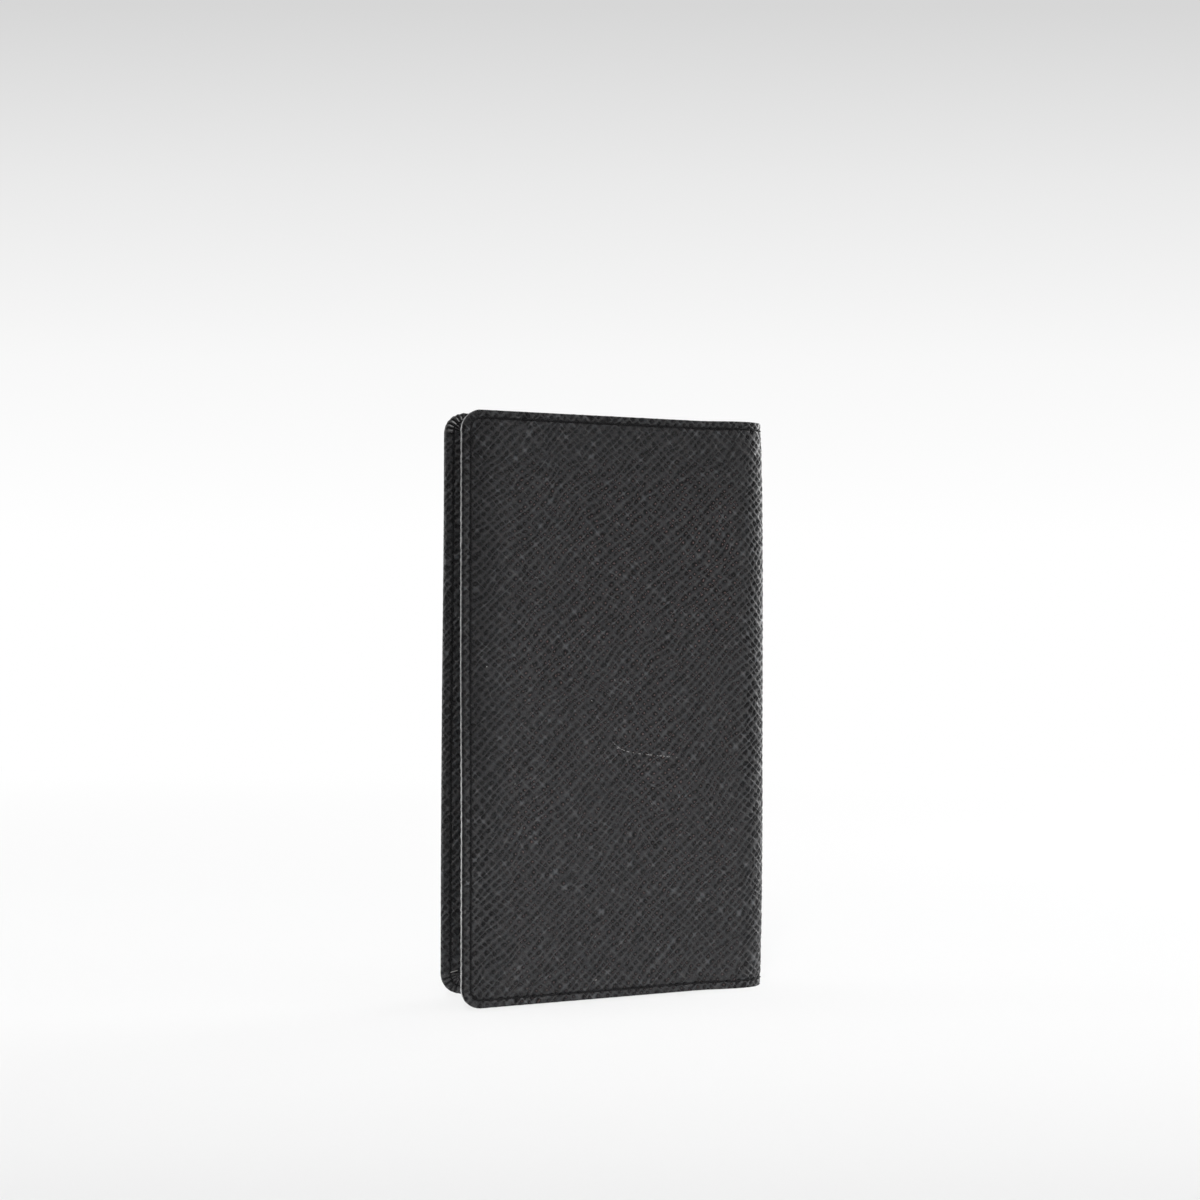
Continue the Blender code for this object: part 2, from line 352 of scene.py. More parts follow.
def layouts_from_frame(corner_radius: float, stance: BackStance) -> dict[Side, Layout]:
    """Read the cover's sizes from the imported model.

    Args:
        corner_radius: Radius of the rounded fore-edge corners.
        stance: How the back cover stands.

    Returns:
        A layout for each side.
    """
    front_fold = next(joint for joint in frame["joints"] if joint["name"] == "front_fold")
    hinge_x, hinge_y = front_fold["pos_m"][0], abs(front_fold["pos_m"][1])
    radius = hinge_y / math.cos(Layout.fold_angle)
    open_angle = math.radians(-front_fold["range_deg"][0])
    low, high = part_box("front_cover_leather")
    layers = Layers()
    fold_reach = hinge_y - radius + layers.edge - layers.fold_rounding
    width = (hinge_x - low.x - fold_reach * math.sin(open_angle)) / math.cos(open_angle) - hinge_y
    front = Layout(
        side=Side.FRONT,
        height=high.z - low.z,
        panel_width=width,
        radius=radius,
        corner_radius=corner_radius,
        open_angle=open_angle,
        axis_x=hinge_x - hinge_y,
    )
    back = replace(
        front,
        side=Side.BACK,
        panel_width=width - stance.stagger,
        head_draw=stance.head_draw,
        tail_draw=stance.tail_draw,
        fore_edge_lift=stance.fore_edge_lift,
    )
    return {Side.FRONT: front, Side.BACK: back}


@dataclass(frozen=True)
class Core:
    """Box on the bench whose corners are the centres of a sheet's rounded corners."""

    low_u: float
    high_u: float
    low_z: float
    high_z: float

    def round_corners(self, u: Array, z: Array) -> tuple[Array, Array]:
        """Draw square corners in to arcs.

        Args:
            u: Place of each point along the bench.
            z: Height of each point.

        Returns:
            The points' new u and z.
        """
        over_u = u - np.clip(u, self.low_u, self.high_u)
        over_z = z - np.clip(z, self.low_z, self.high_z)
        way = np.hypot(over_u, over_z)
        longer = np.maximum(np.abs(over_u), np.abs(over_z))
        excess = 1 - np.divide(longer, way, out=np.ones_like(way), where=way > 0)
        return u - over_u * excess, z - over_z * excess


def read_values(items: bpy.types.bpy_prop_collection, key: str, kind: type, width: int = 1) -> Array:
    """Read one value, of one or more numbers, from all points, edges, corners or faces."""
    flat = np.zeros(len(items) * width, kind)
    items.foreach_get(key, flat)
    return flat.reshape(-1, width) if width > 1 else flat


def read_points(mesh: Mesh) -> Array:
    """Give the places of a mesh's points, one row each."""
    return read_values(mesh.vertices, "co", np.float32, 3).astype(float)


def write_points(mesh: Mesh, points: Array) -> None:
    """Set the places of a mesh's points."""
    mesh.vertices.foreach_set("co", points.astype(np.float32).ravel())
    mesh.update()


def set_depth(piece: Piece, u: Array, z: Array, depth: Array) -> None:
    """Put a bench piece's points at these places and depths."""
    write_points(piece.data, np.stack([u, z, -depth], axis=-1))


def store_values(mesh: Mesh, name: str, values: Array) -> None:
    """Keep one number per point under a name that materials can read."""
    attribute = mesh.attributes.new(name, "FLOAT", "POINT")
    attribute.data.foreach_set("value", values.astype(np.float32))


def store_lattice(mesh: Mesh, across: Array, up: Array) -> None:
    """Keep the points' lattice coordinates, across and up the sheet, as the mesh's UV map."""
    corners = read_values(mesh.loops, "vertex_index", np.int32)
    for old in list(mesh.uv_layers):
        mesh.uv_layers.remove(old)
    layer = mesh.uv_layers.new(name=GRAIN_MAP)
    layer.data.foreach_set("uv", np.stack([across[corners], up[corners]], axis=-1).astype(np.float32).ravel())


def rename(piece: Piece, name: str) -> None:
    """Give a piece and its mesh the same name."""
    piece.name = name
    piece.data.name = name


def copy_of(piece: Piece) -> Piece:
    """Put a copy of a piece, with its own mesh, into the scene."""
    copy = piece.copy()
    copy.data = piece.data.copy()
    bpy.context.scene.collection.objects.link(copy)
    return copy


def clear_selection() -> None:
    """Deselect every object, the CAD nodes among them."""
    for shown in bpy.context.view_layer.objects.selected:
        shown.select_set(False)


def activate(*pieces: Piece) -> None:
    """Select these pieces and nothing else, and make the first one active."""
    clear_selection()
    for piece in pieces:
        piece.select_set(True)
    bpy.context.view_layer.objects.active = pieces[0]


@contextmanager
def editing(piece: Piece, mode: str = "VERT") -> Iterator[None]:
    """Hold a piece in edit mode, with points, edges or faces to be selected."""
    activate(piece)
    bpy.ops.object.mode_set(mode="EDIT")
    bpy.ops.mesh.select_mode(type=mode)
    try:
        yield
    finally:
        bpy.ops.object.mode_set(mode="OBJECT")


def turn_outwards(piece: Piece) -> None:
    """Turn all of a piece's faces outwards."""
    with editing(piece):
        bpy.ops.mesh.select_all(action="SELECT")
        bpy.ops.mesh.normals_make_consistent(inside=False)


def pick(piece: Piece, points: Array) -> None:
    """Select these points of a piece, and the edges and faces between them."""
    mesh = piece.data
    ends = read_values(mesh.edges, "vertices", np.int32, 2)
    corners = read_values(mesh.loops, "vertex_index", np.int32)
    starts = read_values(mesh.polygons, "loop_start", np.int32)
    mesh.vertices.foreach_set("select", points)
    mesh.edges.foreach_set("select", points[ends].all(axis=1))
    mesh.polygons.foreach_set("select", np.logical_and.reduceat(points[corners], starts))


def apply_modifier(piece: Piece, kind: str, **settings: object) -> None:
    """Add a modifier of this kind with these settings, and apply it."""
    activate(piece)
    modifier = piece.modifiers.new(kind.title(), kind)
    for key, value in settings.items():
        setattr(modifier, key, value)
    bpy.ops.object.modifier_apply(modifier=modifier.name)


def shade(piece: Piece, sharp_above: float) -> None:
    """Shade a piece smooth, apart from edges sharper than this angle in degrees."""
    activate(piece)
    bpy.ops.object.shade_smooth_by_angle(angle=math.radians(sharp_above))


def bench_grid(name: str, columns: Array, rows: Array) -> Piece:
    """Lay a flat grid on the bench, with a line at each column and row.

    Args:
        name: Name of the new piece.
        columns: Places of the grid lines along X.
        rows: Places of the grid lines along Y.

    Returns:
        The new piece, facing +Z.
    """
    clear_selection()
    across, up = len(columns) - 1, len(rows) - 1
    bpy.ops.mesh.primitive_grid_add(x_subdivisions=across, y_subdivisions=up, size=2.0)
    piece = bpy.context.object
    rename(piece, name)
    points = read_points(piece.data)
    i = np.rint((points[:, 0] + 1) / 2 * across).astype(int)
    j = np.rint((points[:, 1] + 1) / 2 * up).astype(int)
    set_depth(piece, columns[i], rows[j], np.zeros(len(i)))
    return piece


@dataclass(frozen=True)
class CrossGrain:
    """Cross-grain pressed into leather: two crossing sets of uneven ridges around staggered pits.

    Lattice coordinates count cells across and up the sheet. Their sum p and difference q are whole numbers in
    the pits and halfway between them on the ridges.
    """

    cell_width: float = 2.24 * MM
    cell_height: float = 2.06 * MM
    pit_depth: float = 0.12 * MM
    line_shift: float = 0.42
    line_run: float = 3.0
    swell_shift: float = 0.62
    swell: float = 6.0
    broken_rising: float = 0.08
    broken_falling: float = 0.34
    broken_height: float = 0.25
    flank: Ease = Ease(0.16, 0.50)
    least_height: float = 0.30
    lean_share: float = 0.45
    stretch_share: float = 0.20
    run_share: float = 0.15
    run_length: float = 7.0
    lean_level: float = 0.45
    lean_swing: float = 0.75
    lean_width: float = 9.0
    lean_height: float = 11.0
    lean_whole: float = 1.15
    fill: float = 0.35
    fill_reach: float = 0.5
    seed: int = 7

    def strength(self, across: Array, along: Array, lean: Array, broken: float, seed: int) -> Array:
        """How strongly each stretch of a ridge stands up.

        Args:
            across: Number of the ridge.
            along: Number of the stretch along it.
            lean: From 0 to 1, how strong the ridges of this direction are here.
            broken: Share of the stretches that hardly stand up.
            seed: Table of the stretches' random numbers.

        Returns:
            Heights from about 0.1 to 1.
        """
        chance = cell_random(across, along, seed)
        run = cell_random(across, np.floor(along / self.run_length), seed + 20)
        height = self.least_height + self.lean_share * lean
        height = height + self.stretch_share * chance + self.run_share * run
        return height * np.where(chance < broken, self.broken_height, 1.0)

    def relief(self, cu: Array, cv: Array, head: Array) -> Array:
        """Height of the grain, from 0 in a pit to 1 on a crest.

        Args:
            cu: Lattice coordinate across the sheet, in cells.
            cv: Lattice coordinate up the sheet, in cells.
            head: From 0 to 1, how much the falling ridges lead, as they do along the head.

        Returns:
            The height at each point.
        """
        p, q = cu + cv, cu - cv
        from_p, from_q = np.abs(p - np.rint(p)), np.abs(q - np.rint(q))
        patches = soft_noise(cu / self.lean_width, cv / self.lean_height, self.seed + 3)
        lean = np.clip(self.lean_level + self.lean_swing * (patches - head), 0.0, 1.0)
        against = self.lean_whole - lean
        rising = self.strength(np.floor(p), np.rint(q), lean, self.broken_rising, self.seed)
        falling = self.strength(np.floor(q), np.rint(p), against, self.broken_falling, self.seed + 1)
        net = np.maximum(rising * self.flank(from_p), falling * self.flank(from_q))
        fill = self.fill * cell_random(np.rint(p), np.rint(q), self.seed + 2)
        floor = fill * (1 - smooth(np.hypot(from_p, from_q) / self.fill_reach))
        return np.clip(np.maximum(net, floor), 0.0, 1.0)

    def shift(self, cu: Array, cv: Array) -> tuple[Array, Array]:
        """How far each ridge lies off its even place, across and up the sheet, in cells."""
        p, q = cu + cv, cu - cv
        off = []
        for line, along, seed in ((p, q, self.seed + 4), (q, p, self.seed + 5)):
            off.append(self.line_shift * (2 * soft_noise(line, along / self.line_run, seed) - 1))
        for number, seed in enumerate((self.seed + 6, self.seed + 8)):
            swelling = 2 * soft_noise(cu / self.swell, cv / self.swell, seed) - 1
            off[number] = off[number] + self.swell_shift * swelling
        rising, falling = off
        return (rising + falling) / 2, (rising - falling) / 2


@dataclass(frozen=True)
class SeamLine:
    """Way of a seam over the bench: along the head, around the fore-edge and back along the tail."""

    start_u: float
    end_u: float
    low_z: float
    high_z: float
    turn_radius: float

    @property
    def straight(self) -> float:
        """Length of the run along the head, which is that along the tail too."""
        return self.end_u - self.turn_radius - self.start_u

    @property
    def turn(self) -> float:
        """Length of the seam's way around one corner."""
        return self.turn_radius * math.pi / 2

    @property
    def upright(self) -> float:
        """Length of the run along the fore-edge."""
        return self.high_z - self.low_z - 2 * self.turn_radius

    @property
    def length(self) -> float:
        """Length of the whole seam."""
        return 2 * self.straight + 2 * self.turn + self.upright

    def head_half(self, way: Array, inwards: Array) -> tuple[Array, Array]:
        """Bench place of points from the seam's start to the middle of the fore-edge.

        Args:
            way: Distance along the seam.
            inwards: Distance from the seam towards the middle of the panel.

        Returns:
            The points' u and z.
        """
        angle = np.clip((way - self.straight) / self.turn_radius, 0.0, math.pi / 2)
        before = np.minimum(way, self.straight)
        after = np.clip(way - self.straight - self.turn, 0.0, None)
        reach = self.turn_radius - inwards
        u = self.start_u + before + reach * np.sin(angle)
        z = self.high_z - self.turn_radius + reach * np.cos(angle) - after
        return u, z

    def point(self, way: Array, inwards: Array) -> tuple[Array, Array]:
        """Bench place of points by their distance along the seam and inwards from it."""
        beyond = way > self.length / 2
        u, z = self.head_half(np.where(beyond, self.length - way, way), inwards)
        return u, np.where(beyond, self.high_z + self.low_z - z, z)

    def distance(self, u: Array, z: Array) -> Array:
        """Distance of bench places from the seam."""
        middle_z, half_z = (self.low_z + self.high_z) / 2, (self.high_z - self.low_z) / 2
        over_u = u - (self.end_u - self.turn_radius)
        over_z = np.abs(z - middle_z) - half_z + self.turn_radius
        outside = np.hypot(np.clip(over_u, 0.0, None), np.clip(over_z, 0.0, None))
        return np.abs(outside + np.minimum(np.maximum(over_u, over_z), 0.0) - self.turn_radius)


def edge_seam(layout: Layout, layers: Layers) -> SeamLine:
    """Way of the edge seam around one side, from the middle of the spine and back to it."""
    return SeamLine(
        start_u=layout.middle_u,
        end_u=layout.panel_width - layers.seam_inset,
        low_z=layers.seam_inset_ends,
        high_z=layout.height - layers.seam_inset_ends,
        turn_radius=layout.corner_radius - layers.seam_inset,
    )


@dataclass(frozen=True)
class Noise:
    """Make-up of a noise: swells per unit of place, finer layers, and how much those count."""

    scale: float
    detail: float = 2.0
    roughness: float = 0.5


def reckoned(operation: str) -> Callable[..., "Number"]:
    """Make a method of Number that works one operation out in the material's nodes."""
    return lambda *values: values[0].bench.math(operation, *values)


class Number:
    """A number in a material's nodes, reckoned with like a plain one."""

    def __init__(self, bench: "NodeBench", socket: Socket) -> None:
        """Remember the socket that gives the number."""
        self.bench = bench
        self.socket = socket

    __add__ = __radd__ = reckoned("ADD")
    __sub__ = reckoned("SUBTRACT")
    __mul__ = __rmul__ = reckoned("MULTIPLY")
    __truediv__ = reckoned("DIVIDE")
    __abs__ = reckoned("ABSOLUTE")
    floor = reckoned("FLOOR")
    sine = reckoned("SINE")
    larger = reckoned("MAXIMUM")
    smaller = reckoned("MINIMUM")

    def __rsub__(self, other: float) -> "Number":
        """Subtract from a plain number."""
        return self.bench.math("SUBTRACT", other, self)

    def clamped(self) -> "Number":
        """Hold the number between 0 and 1."""
        return self.larger(0.0).smaller(1.0)

    def way_with(self, other: "Number") -> "Number":
        """Length of the way that this number and another at right angles to it make."""
        return self.bench.math("SQRT", self * self + other * other)

    def from_line(self) -> tuple["Number", "Number"]:
        """Number of the nearest whole line, and the way from it."""
        line = (self + 0.5).floor()
        return line, self - line

    def eased(self, ease: Ease) -> "Number":
        """Ease the number from one range into another."""
        ends = {"From Min": ease.start, "From Max": ease.end, "To Min": ease.first, "To Max": ease.last}
        node = self.bench.node("ShaderNodeMapRange", {"Value": self, **ends}, interpolation_type="SMOOTHSTEP")
        return Number(self.bench, node.outputs[0])


class NodeBench:
    """Builds the nodes of a material or a world, with numbers, sockets and plain values taken alike."""

    def __init__(self, owner: Material | bpy.types.World) -> None:
        """Start with nothing but the output."""
        owner.use_nodes = True
        kind = "ShaderNodeOutputWorld" if isinstance(owner, bpy.types.World) else "ShaderNodeOutputMaterial"
        self.owner = owner
        self.tree = owner.node_tree
        self.tree.nodes.clear()
        self.output = self.tree.nodes.new(kind)

    def feed(self, target: Socket, value: object) -> None:
        """Link an input to the number or socket that feeds it, or set a plain value on it."""
        source = value.socket if isinstance(value, Number) else value
        if isinstance(source, bpy.types.NodeSocket):
            self.tree.links.new(source, target)
        elif target.type == "RGBA":
            target.default_value = (*source, 1.0)
        else:
            target.default_value = source

    def node(self, kind: str, inputs: dict[int | str, object], **settings: object) -> bpy.types.Node:
        """Add a node.

        Args:
            kind: Blender's name for the node.
            inputs: What each input gets, by the input's name or number.
            settings: The node's other values.

        Returns:
            The node.
        """
        node = self.tree.nodes.new(kind)
        for key, value in settings.items():
            setattr(node, key, value)
        for key, value in inputs.items():
            self.feed(node.inputs[key], value)
        return node

    def math(self, operation: str, *values: Number | float) -> Number:
        """Work out a number from others."""
        node = self.node("ShaderNodeMath", dict(enumerate(values)), operation=operation)
        return Number(self, node.outputs[0])

    def attribute(self, name: str) -> Number:
        """Read a number kept on the mesh's points."""
        return Number(self, self.node("ShaderNodeAttribute", {}, attribute_name=name).outputs["Fac"])

    def parts(self, vector: Socket) -> list[Number]:
        """Split a vector or a colour into its three numbers."""
        return [Number(self, socket) for socket in self.node("ShaderNodeSeparateXYZ", {0: vector}).outputs]

    def lattice(self) -> tuple[Number, Number]:
        """Read the piece's lattice coordinates, across and up the sheet."""
        across, up, _ = self.parts(self.node("ShaderNodeUVMap", {}, uv_map=GRAIN_MAP).outputs[0])
        return across, up

    def object_place(self, scale: float | Place = 1.0) -> Socket:
        """Read the Object coordinates, scaled evenly or by axis."""
        source = self.node("ShaderNodeTexCoord", {}).outputs["Object"]
        factors = scale if isinstance(scale, tuple) else (scale,) * 3
        return self.node("ShaderNodeMapping", {"Vector": source, "Scale": factors}).outputs[0]

    def noise(self, place: Socket, noise: Noise) -> Number:
        """Read a noise at each place."""
        inputs = {"Scale": noise.scale, "Detail": noise.detail, "Roughness": noise.roughness}
        return Number(self, self.node("ShaderNodeTexNoise", {"Vector": place, **inputs}).outputs["Fac"])

    def chances(self, first: Number, second: Number, table: float) -> list[Number]:
        """Draw three random numbers from 0 to 1 that are the same all over one cell."""
        cell = self.node("ShaderNodeCombineXYZ", {0: first, 1: second, 2: table}).outputs[0]
        noise = self.node("ShaderNodeTexWhiteNoise", {"Vector": cell}, noise_dimensions="3D")
        return self.parts(noise.outputs["Color"])

    def seen_directly(self) -> Number:
        """1 for camera, glossy and transmission rays, else 0."""
        rays = self.node("ShaderNodeLightPath", {}).outputs
        names = ("Is Camera Ray", "Is Glossy Ray", "Is Transmission Ray")
        camera, glossy, clear = (Number(self, rays[name]) for name in names)
        return camera.larger(glossy).larger(clear)

    def mix(self, share: Number | float, first: object, second: object, blend: str = "MIX") -> Socket:
        """Lay the second colour over the first by a share, or as the blend mode says."""
        inputs = {0: share, 6: first, 7: second}
        return self.node("ShaderNodeMix", inputs, data_type="RGBA", blend_type=blend).outputs[2]

    def bump(self, height: Number, distance: float, below: Socket | None = None) -> Socket:
        """Turn a height into a normal. A height of 1 stands up by the distance."""
        inputs = {"Height": height, "Distance": distance, "Strength": 1.0}
        if below is not None:
            inputs["Normal"] = below
        return self.node("ShaderNodeBump", inputs).outputs[0]

    def show(self, shader: bpy.types.Node) -> Material | bpy.types.World:
        """Join a shader to the output, and hand over the finished material or world."""
        self.feed(self.output.inputs["Surface"], shader.outputs[0])
        return self.owner

    def principled(self, **inputs: object) -> Material:
        """Close a material with a Principled shader, whose inputs are given by name."""
        named = {key.replace("_", " "): value for key, value in inputs.items()}
        return self.show(self.node("ShaderNodeBsdfPrincipled", named))


@dataclass(frozen=True)
class PressedPits:
    """Pits of the grain, each a little off its place and of its own size. Ways are in cells."""

    radius: float = 0.31
    growth: float = 0.08
    jitter: float = 0.14
    width: float = 0.90
    slimming: float = 0.30
    wall: Ease = Ease(0.50, 1.25, 1.0, 0.0)
    depth: Ease = Ease(0.0, 0.6, 0.70, 1.0)
    dot_offset: float = 0.05
    dot_wall: Ease = Ease(0.02, 0.20, 0.55, 1.0)
    dot_floor: Ease = Ease(0.04, 0.17, 1.0, 0.0)
    dot_shine: Ease = Ease(0.1, 0.7, 0.2, 1.0)
    table: float = 1.0

    def draw(self, bench: NodeBench, p: Number, q: Number) -> tuple[Number, Number]:
        """Draw the pits.

        Args:
            bench: The material's nodes.
            p: Lattice coordinate across the rising ridges.
            q: Lattice coordinate across the falling ridges.

        Returns:
            How deep a place lies in its pit, and how clearly it shows the pit floor's middle, where glints
            are painted.
        """
        (across, off_p), (along, off_q) = p.from_line(), q.from_line()
        first, second, third = bench.chances(across, along, self.table)
        off_p = off_p + (0.5 - first) * self.jitter
        off_q = off_q + (0.5 - second) * self.jitter
        width, radius = self.width - third * self.slimming, self.radius + third * self.growth
        away = off_p.way_with(off_q * width) / radius
        from_dot = (off_p + self.dot_offset).way_with(off_q + self.dot_offset)
        hollow = away.eased(self.wall) * from_dot.eased(self.dot_wall) * second.eased(self.depth)
        return hollow, from_dot.eased(self.dot_floor) * first.eased(self.dot_shine)


@dataclass(frozen=True)
class PressedRidges:
    """Ridges between the pits, uneven from stretch to stretch but whole on the bend."""

    flank: Ease = Ease(0.26, 0.47)
    rising: Ease = Ease(0.0, 0.8, 0.25, 1.0)
    falling: Ease = Ease(0.1, 0.9)
    falling_least: float = 0.10
    falling_most: float = 1.15
    rising_table: float = 2.0
    falling_table: float = 3.0

    def draw(self, bench: NodeBench, p: Number, q: Number, bent: Number) -> Number:
        """Draw the ridges.

        Args:
            bench: The material's nodes.
            p: Lattice coordinate across the rising ridges.
            q: Lattice coordinate across the falling ridges.
            bent: From 0 to 1, how whole the ridges are here.

        Returns:
            Height of the ridges.
        """
        (across, off_p), (along, off_q) = p.from_line(), q.from_line()
        rising = bench.chances(p.floor(), along, self.rising_table)[0].eased(self.rising)
        chance = bench.chances(across, q.floor(), self.falling_table)[0].eased(self.falling)
        least = bent.larger(self.falling_least)
        falling = least + (self.falling_most - least) * chance
        return (abs(off_p).eased(self.flank) * rising).larger(abs(off_q).eased(self.flank) * falling)


@dataclass(frozen=True)
class PressedFlats:
    """Pale flats on a few of the crossings of the ridges."""

    share: float = 0.20
    reach: float = 0.40
    growth: float = 0.45
    spread: Ease = Ease(0.1, 1.0, 1.0, 0.0)
    arm: Ease = Ease(0.02, 0.24, 1.0, 0.0)
    paleness: Ease = Ease(0.0, 1.0, 0.3, 1.0)
    table: float = 4.0

    def draw(self, bench: NodeBench, p: Number, q: Number) -> Number:
        """Draw the flats.

        Args:
            bench: The material's nodes.
            p: Lattice coordinate across the rising ridges.
            q: Lattice coordinate across the falling ridges.

        Returns:
            How pale each place is.
        """
        whole_p, whole_q = p.floor(), q.floor()
        off_p, off_q = p - whole_p - 0.5, q - whole_q - 0.5
        first, second, third = bench.chances(whole_p, whole_q, self.table)
        spread = (off_p.way_with(off_q) / (self.reach + second * self.growth)).eased(self.spread)
        arms = abs(off_p).smaller(abs(off_q)).eased(self.arm)
        chosen = first.eased(Ease(1 - self.share, 1 - self.share / 2))
        return spread * arms * chosen * third.eased(self.paleness)


@dataclass(frozen=True)
class LeatherMarks:
    """Specks of dust, a light scuff broken up by noise, and a short pale nick."""

    speck_share: float = 0.0004
    specks_per_cell: float = 3.0
    speck: Ease = Ease(0.10, 0.34, 1.0, 0.0)
    scuff: Ease = Ease(0.03, 0.14, 0.62, 0.0)
    scuff_noise: Noise = Noise(2.0, 1.0)
    scuff_breaks: Ease = Ease(0.49, 0.61)
    nick: Ease = Ease(0.04, 0.17, 0.70, 0.0)
    table: float = 5.0

    def draw(self, bench: NodeBench, place: Socket, p: Number, q: Number) -> Number:
        """Draw the marks.

        Args:
            bench: The material's nodes.
            place: Object coordinates in millimetres.
            p: Lattice coordinate across the rising ridges.
            q: Lattice coordinate across the falling ridges.

        Returns:
            How dusty each place is.
        """
        (across, off_p), (along, off_q) = ((line * self.specks_per_cell).from_line() for line in (p, q))
        first, second, _ = bench.chances(across, along, self.table)
        chosen = bench.math("GREATER_THAN", first, 1 - self.speck_share) * second
        specks = off_p.way_with(off_q).eased(self.speck) * chosen
        broken = bench.noise(place, self.scuff_noise).eased(self.scuff_breaks)
        scuff = abs(bench.attribute("scuff")).eased(self.scuff) * broken
        return specks.larger(scuff).larger(abs(bench.attribute("nick")).eased(self.nick))


@dataclass(frozen=True)
class CrossGrainFinish:
    """Black cross-grain leather, read from the lattice and the hide's point values, with painted shade and
    highlights.
    """

    name: str = "black_cross_grain"
    pit: Colour = (0.0040, 0.0038, 0.0042)
    crest: Colour = (0.0360, 0.0362, 0.0372)
    lump: Colour = (0.0560, 0.0570, 0.0590)
    warm: Colour = (0.1150, 0.0720, 0.0680)
    cool_cast: Colour = (0.94, 1.00, 1.05)
    warm_cast: Colour = (1.07, 1.00, 0.98)
    worn: Colour = (0.1000, 0.0985, 0.1000)
    burnished: Colour = (0.8000, 0.8050, 0.8050)
    dust: Colour = (0.3600, 0.3500, 0.3400)
    pits: PressedPits = PressedPits()
    ridges: PressedRidges = PressedRidges()
    flats: PressedFlats = PressedFlats()
    marks: LeatherMarks = LeatherMarks()
    ragged: float = 0.42
    ragged_rising: Noise = Noise(1.1, 3.0)
    ragged_falling: Noise = Noise(1.3, 3.0)
    mottle: Noise = Noise(0.55, 4.0, 0.6)
    crumb: Noise = Noise(2.1, 3.0, 0.6)
    pores: Noise = Noise(5.0, 4.0, 0.7)
    cast: Noise = Noise(1.7)
    noise_range: Ease = Ease(0.30, 0.70)
    mottle_share: float = 0.22
    crumb_share: float = 0.22
    pore_share: float = 0.42
    ground: float = 0.45
    shown_relief: Ease = Ease(0.0, 0.9)
    pit_contrast: float = 0.26
    ridge_contrast: float = 0.19
    glint_in_pits: float = 0.08
    glint_on_ridges: float = 0.06
    floor_fill: float = 0.85
    warm_share: float = 0.75
    cast_range: Ease = Ease(0.35, 0.65)
    wear_range: Ease = Ease(0.35, 0.75)
    burnish_patches: Ease = Ease(0.30, 0.70, 0.60, 1.35)
    crest_gloss: float = 0.42
    pit_gloss: float = 0.05
    cavity_matt: float = 0.80
    burnish_gloss: float = 0.67
    roughness: float = 0.44
    pore_roughness: float = 0.16
    pit_roughness: float = 0.20
    burnish_polish: float = 0.19
    ridge_height: float = 0.5
    pit_drop: float = 0.8
    bump_depth: float = 0.08 * MM
    crumb_depth: float = 0.05 * MM
    pore_depth: float = 0.02 * MM

    def material(self) -> Material:
        """Build the material."""
        bench = NodeBench(bpy.data.materials.new(self.name))
        place = bench.object_place(PLACES_PER_METRE)
        p, q = self.lattice(bench, place)
        names = ("relief", "calm", "glint", "burnish", "cavity", "wear")
        relief, calm, glint, burnish, cavity, wear = (bench.attribute(name) for name in names)
        mottle, crumb, pores = (bench.noise(place, noise) for noise in (self.mottle, self.crumb, self.pores))
        burnish = burnish * crumb.eased(self.burnish_patches)
        lively, bent = 1.0 - calm, (calm * -1.0).larger(0.0)
        hollow, floor = self.pits.draw(bench, p, q)
        floor = floor * glint
        net = self.ridges.draw(bench, p, q, bent) * relief.eased(self.shown_relief).larger(bent)

        # The pits' darkness and the ridges' paleness are painted shade and light, on top of the bumps.
        dark = hollow * (1.0 - floor * self.floor_fill) * (self.pit_contrast + glint * self.glint_in_pits)
        light = net * (self.ridge_contrast + glint * self.glint_on_ridges)
        level = self.ground + (light - dark) * lively + (mottle - 0.5) * self.mottle_share
        level = level + (crumb.eased(self.noise_range) - 0.5) * self.crumb_share
        level = (level + (pores.eased(self.noise_range) - 0.5) * self.pore_share).clamped()

        colour = bench.mix(level, self.pit, self.crest)
        flats = self.flats.draw(bench, p, q) * (1.0 - hollow)
        colour = bench.mix(flats * lively, colour, self.lump)
        # Painted highlight: a warm glint painted on the pits' floors where the glint value is high.
        colour = bench.mix(floor * self.warm_share, colour, self.warm)
        tint = bench.mix(bench.noise(place, self.cast).eased(self.cast_range), self.cool_cast, self.warm_cast)
        colour = bench.mix(1.0, colour, tint, blend="MULTIPLY")
        # Pale on the pleats' backs, partly wear and partly painted highlight, and painted light on the
        # turned-in hem.
        colour = bench.mix(wear * pores.eased(self.wear_range), colour, self.worn)
        # Painted highlight: pale grey on the front fold at the fore-edge and on the pleats' flanks; the same
        # share also polishes them.
        colour = bench.mix(burnish, colour, self.burnished)
        # Painted shade: darkness in the seam groove, the pleats' creases and along the fore-edge.
        colour = bench.mix(cavity, colour, self.pit)
        colour = bench.mix(self.marks.draw(bench, place, p, q), colour, self.dust)

        gloss = self.pit_gloss + level * (self.crest_gloss - self.pit_gloss)
        gloss = gloss * (1.0 - cavity * self.cavity_matt) + burnish * self.burnish_gloss
        rough = self.roughness + (pores - 0.5) * self.pore_roughness
        rough = rough + hollow * self.pit_roughness - burnish * self.burnish_polish
        normal = bench.bump((net * self.ridge_height - hollow * self.pit_drop) * lively, self.bump_depth)
        normal = bench.bump(crumb, self.crumb_depth, below=normal)
        normal = bench.bump(pores, self.pore_depth, below=normal)
        return bench.principled(Base_Color=colour, Roughness=rough, Normal=normal, Specular_IOR_Level=gloss)

    def lattice(self, bench: NodeBench, place: Socket) -> tuple[Number, Number]:
        """Number the lines of pits in both directions, a little raggedly."""
        across, up = bench.lattice()
        rising = (bench.noise(place, self.ragged_rising) - 0.5) * self.ragged
        falling = (bench.noise(place, self.ragged_falling) - 0.5) * self.ragged
        return across + up + rising, across - up + falling


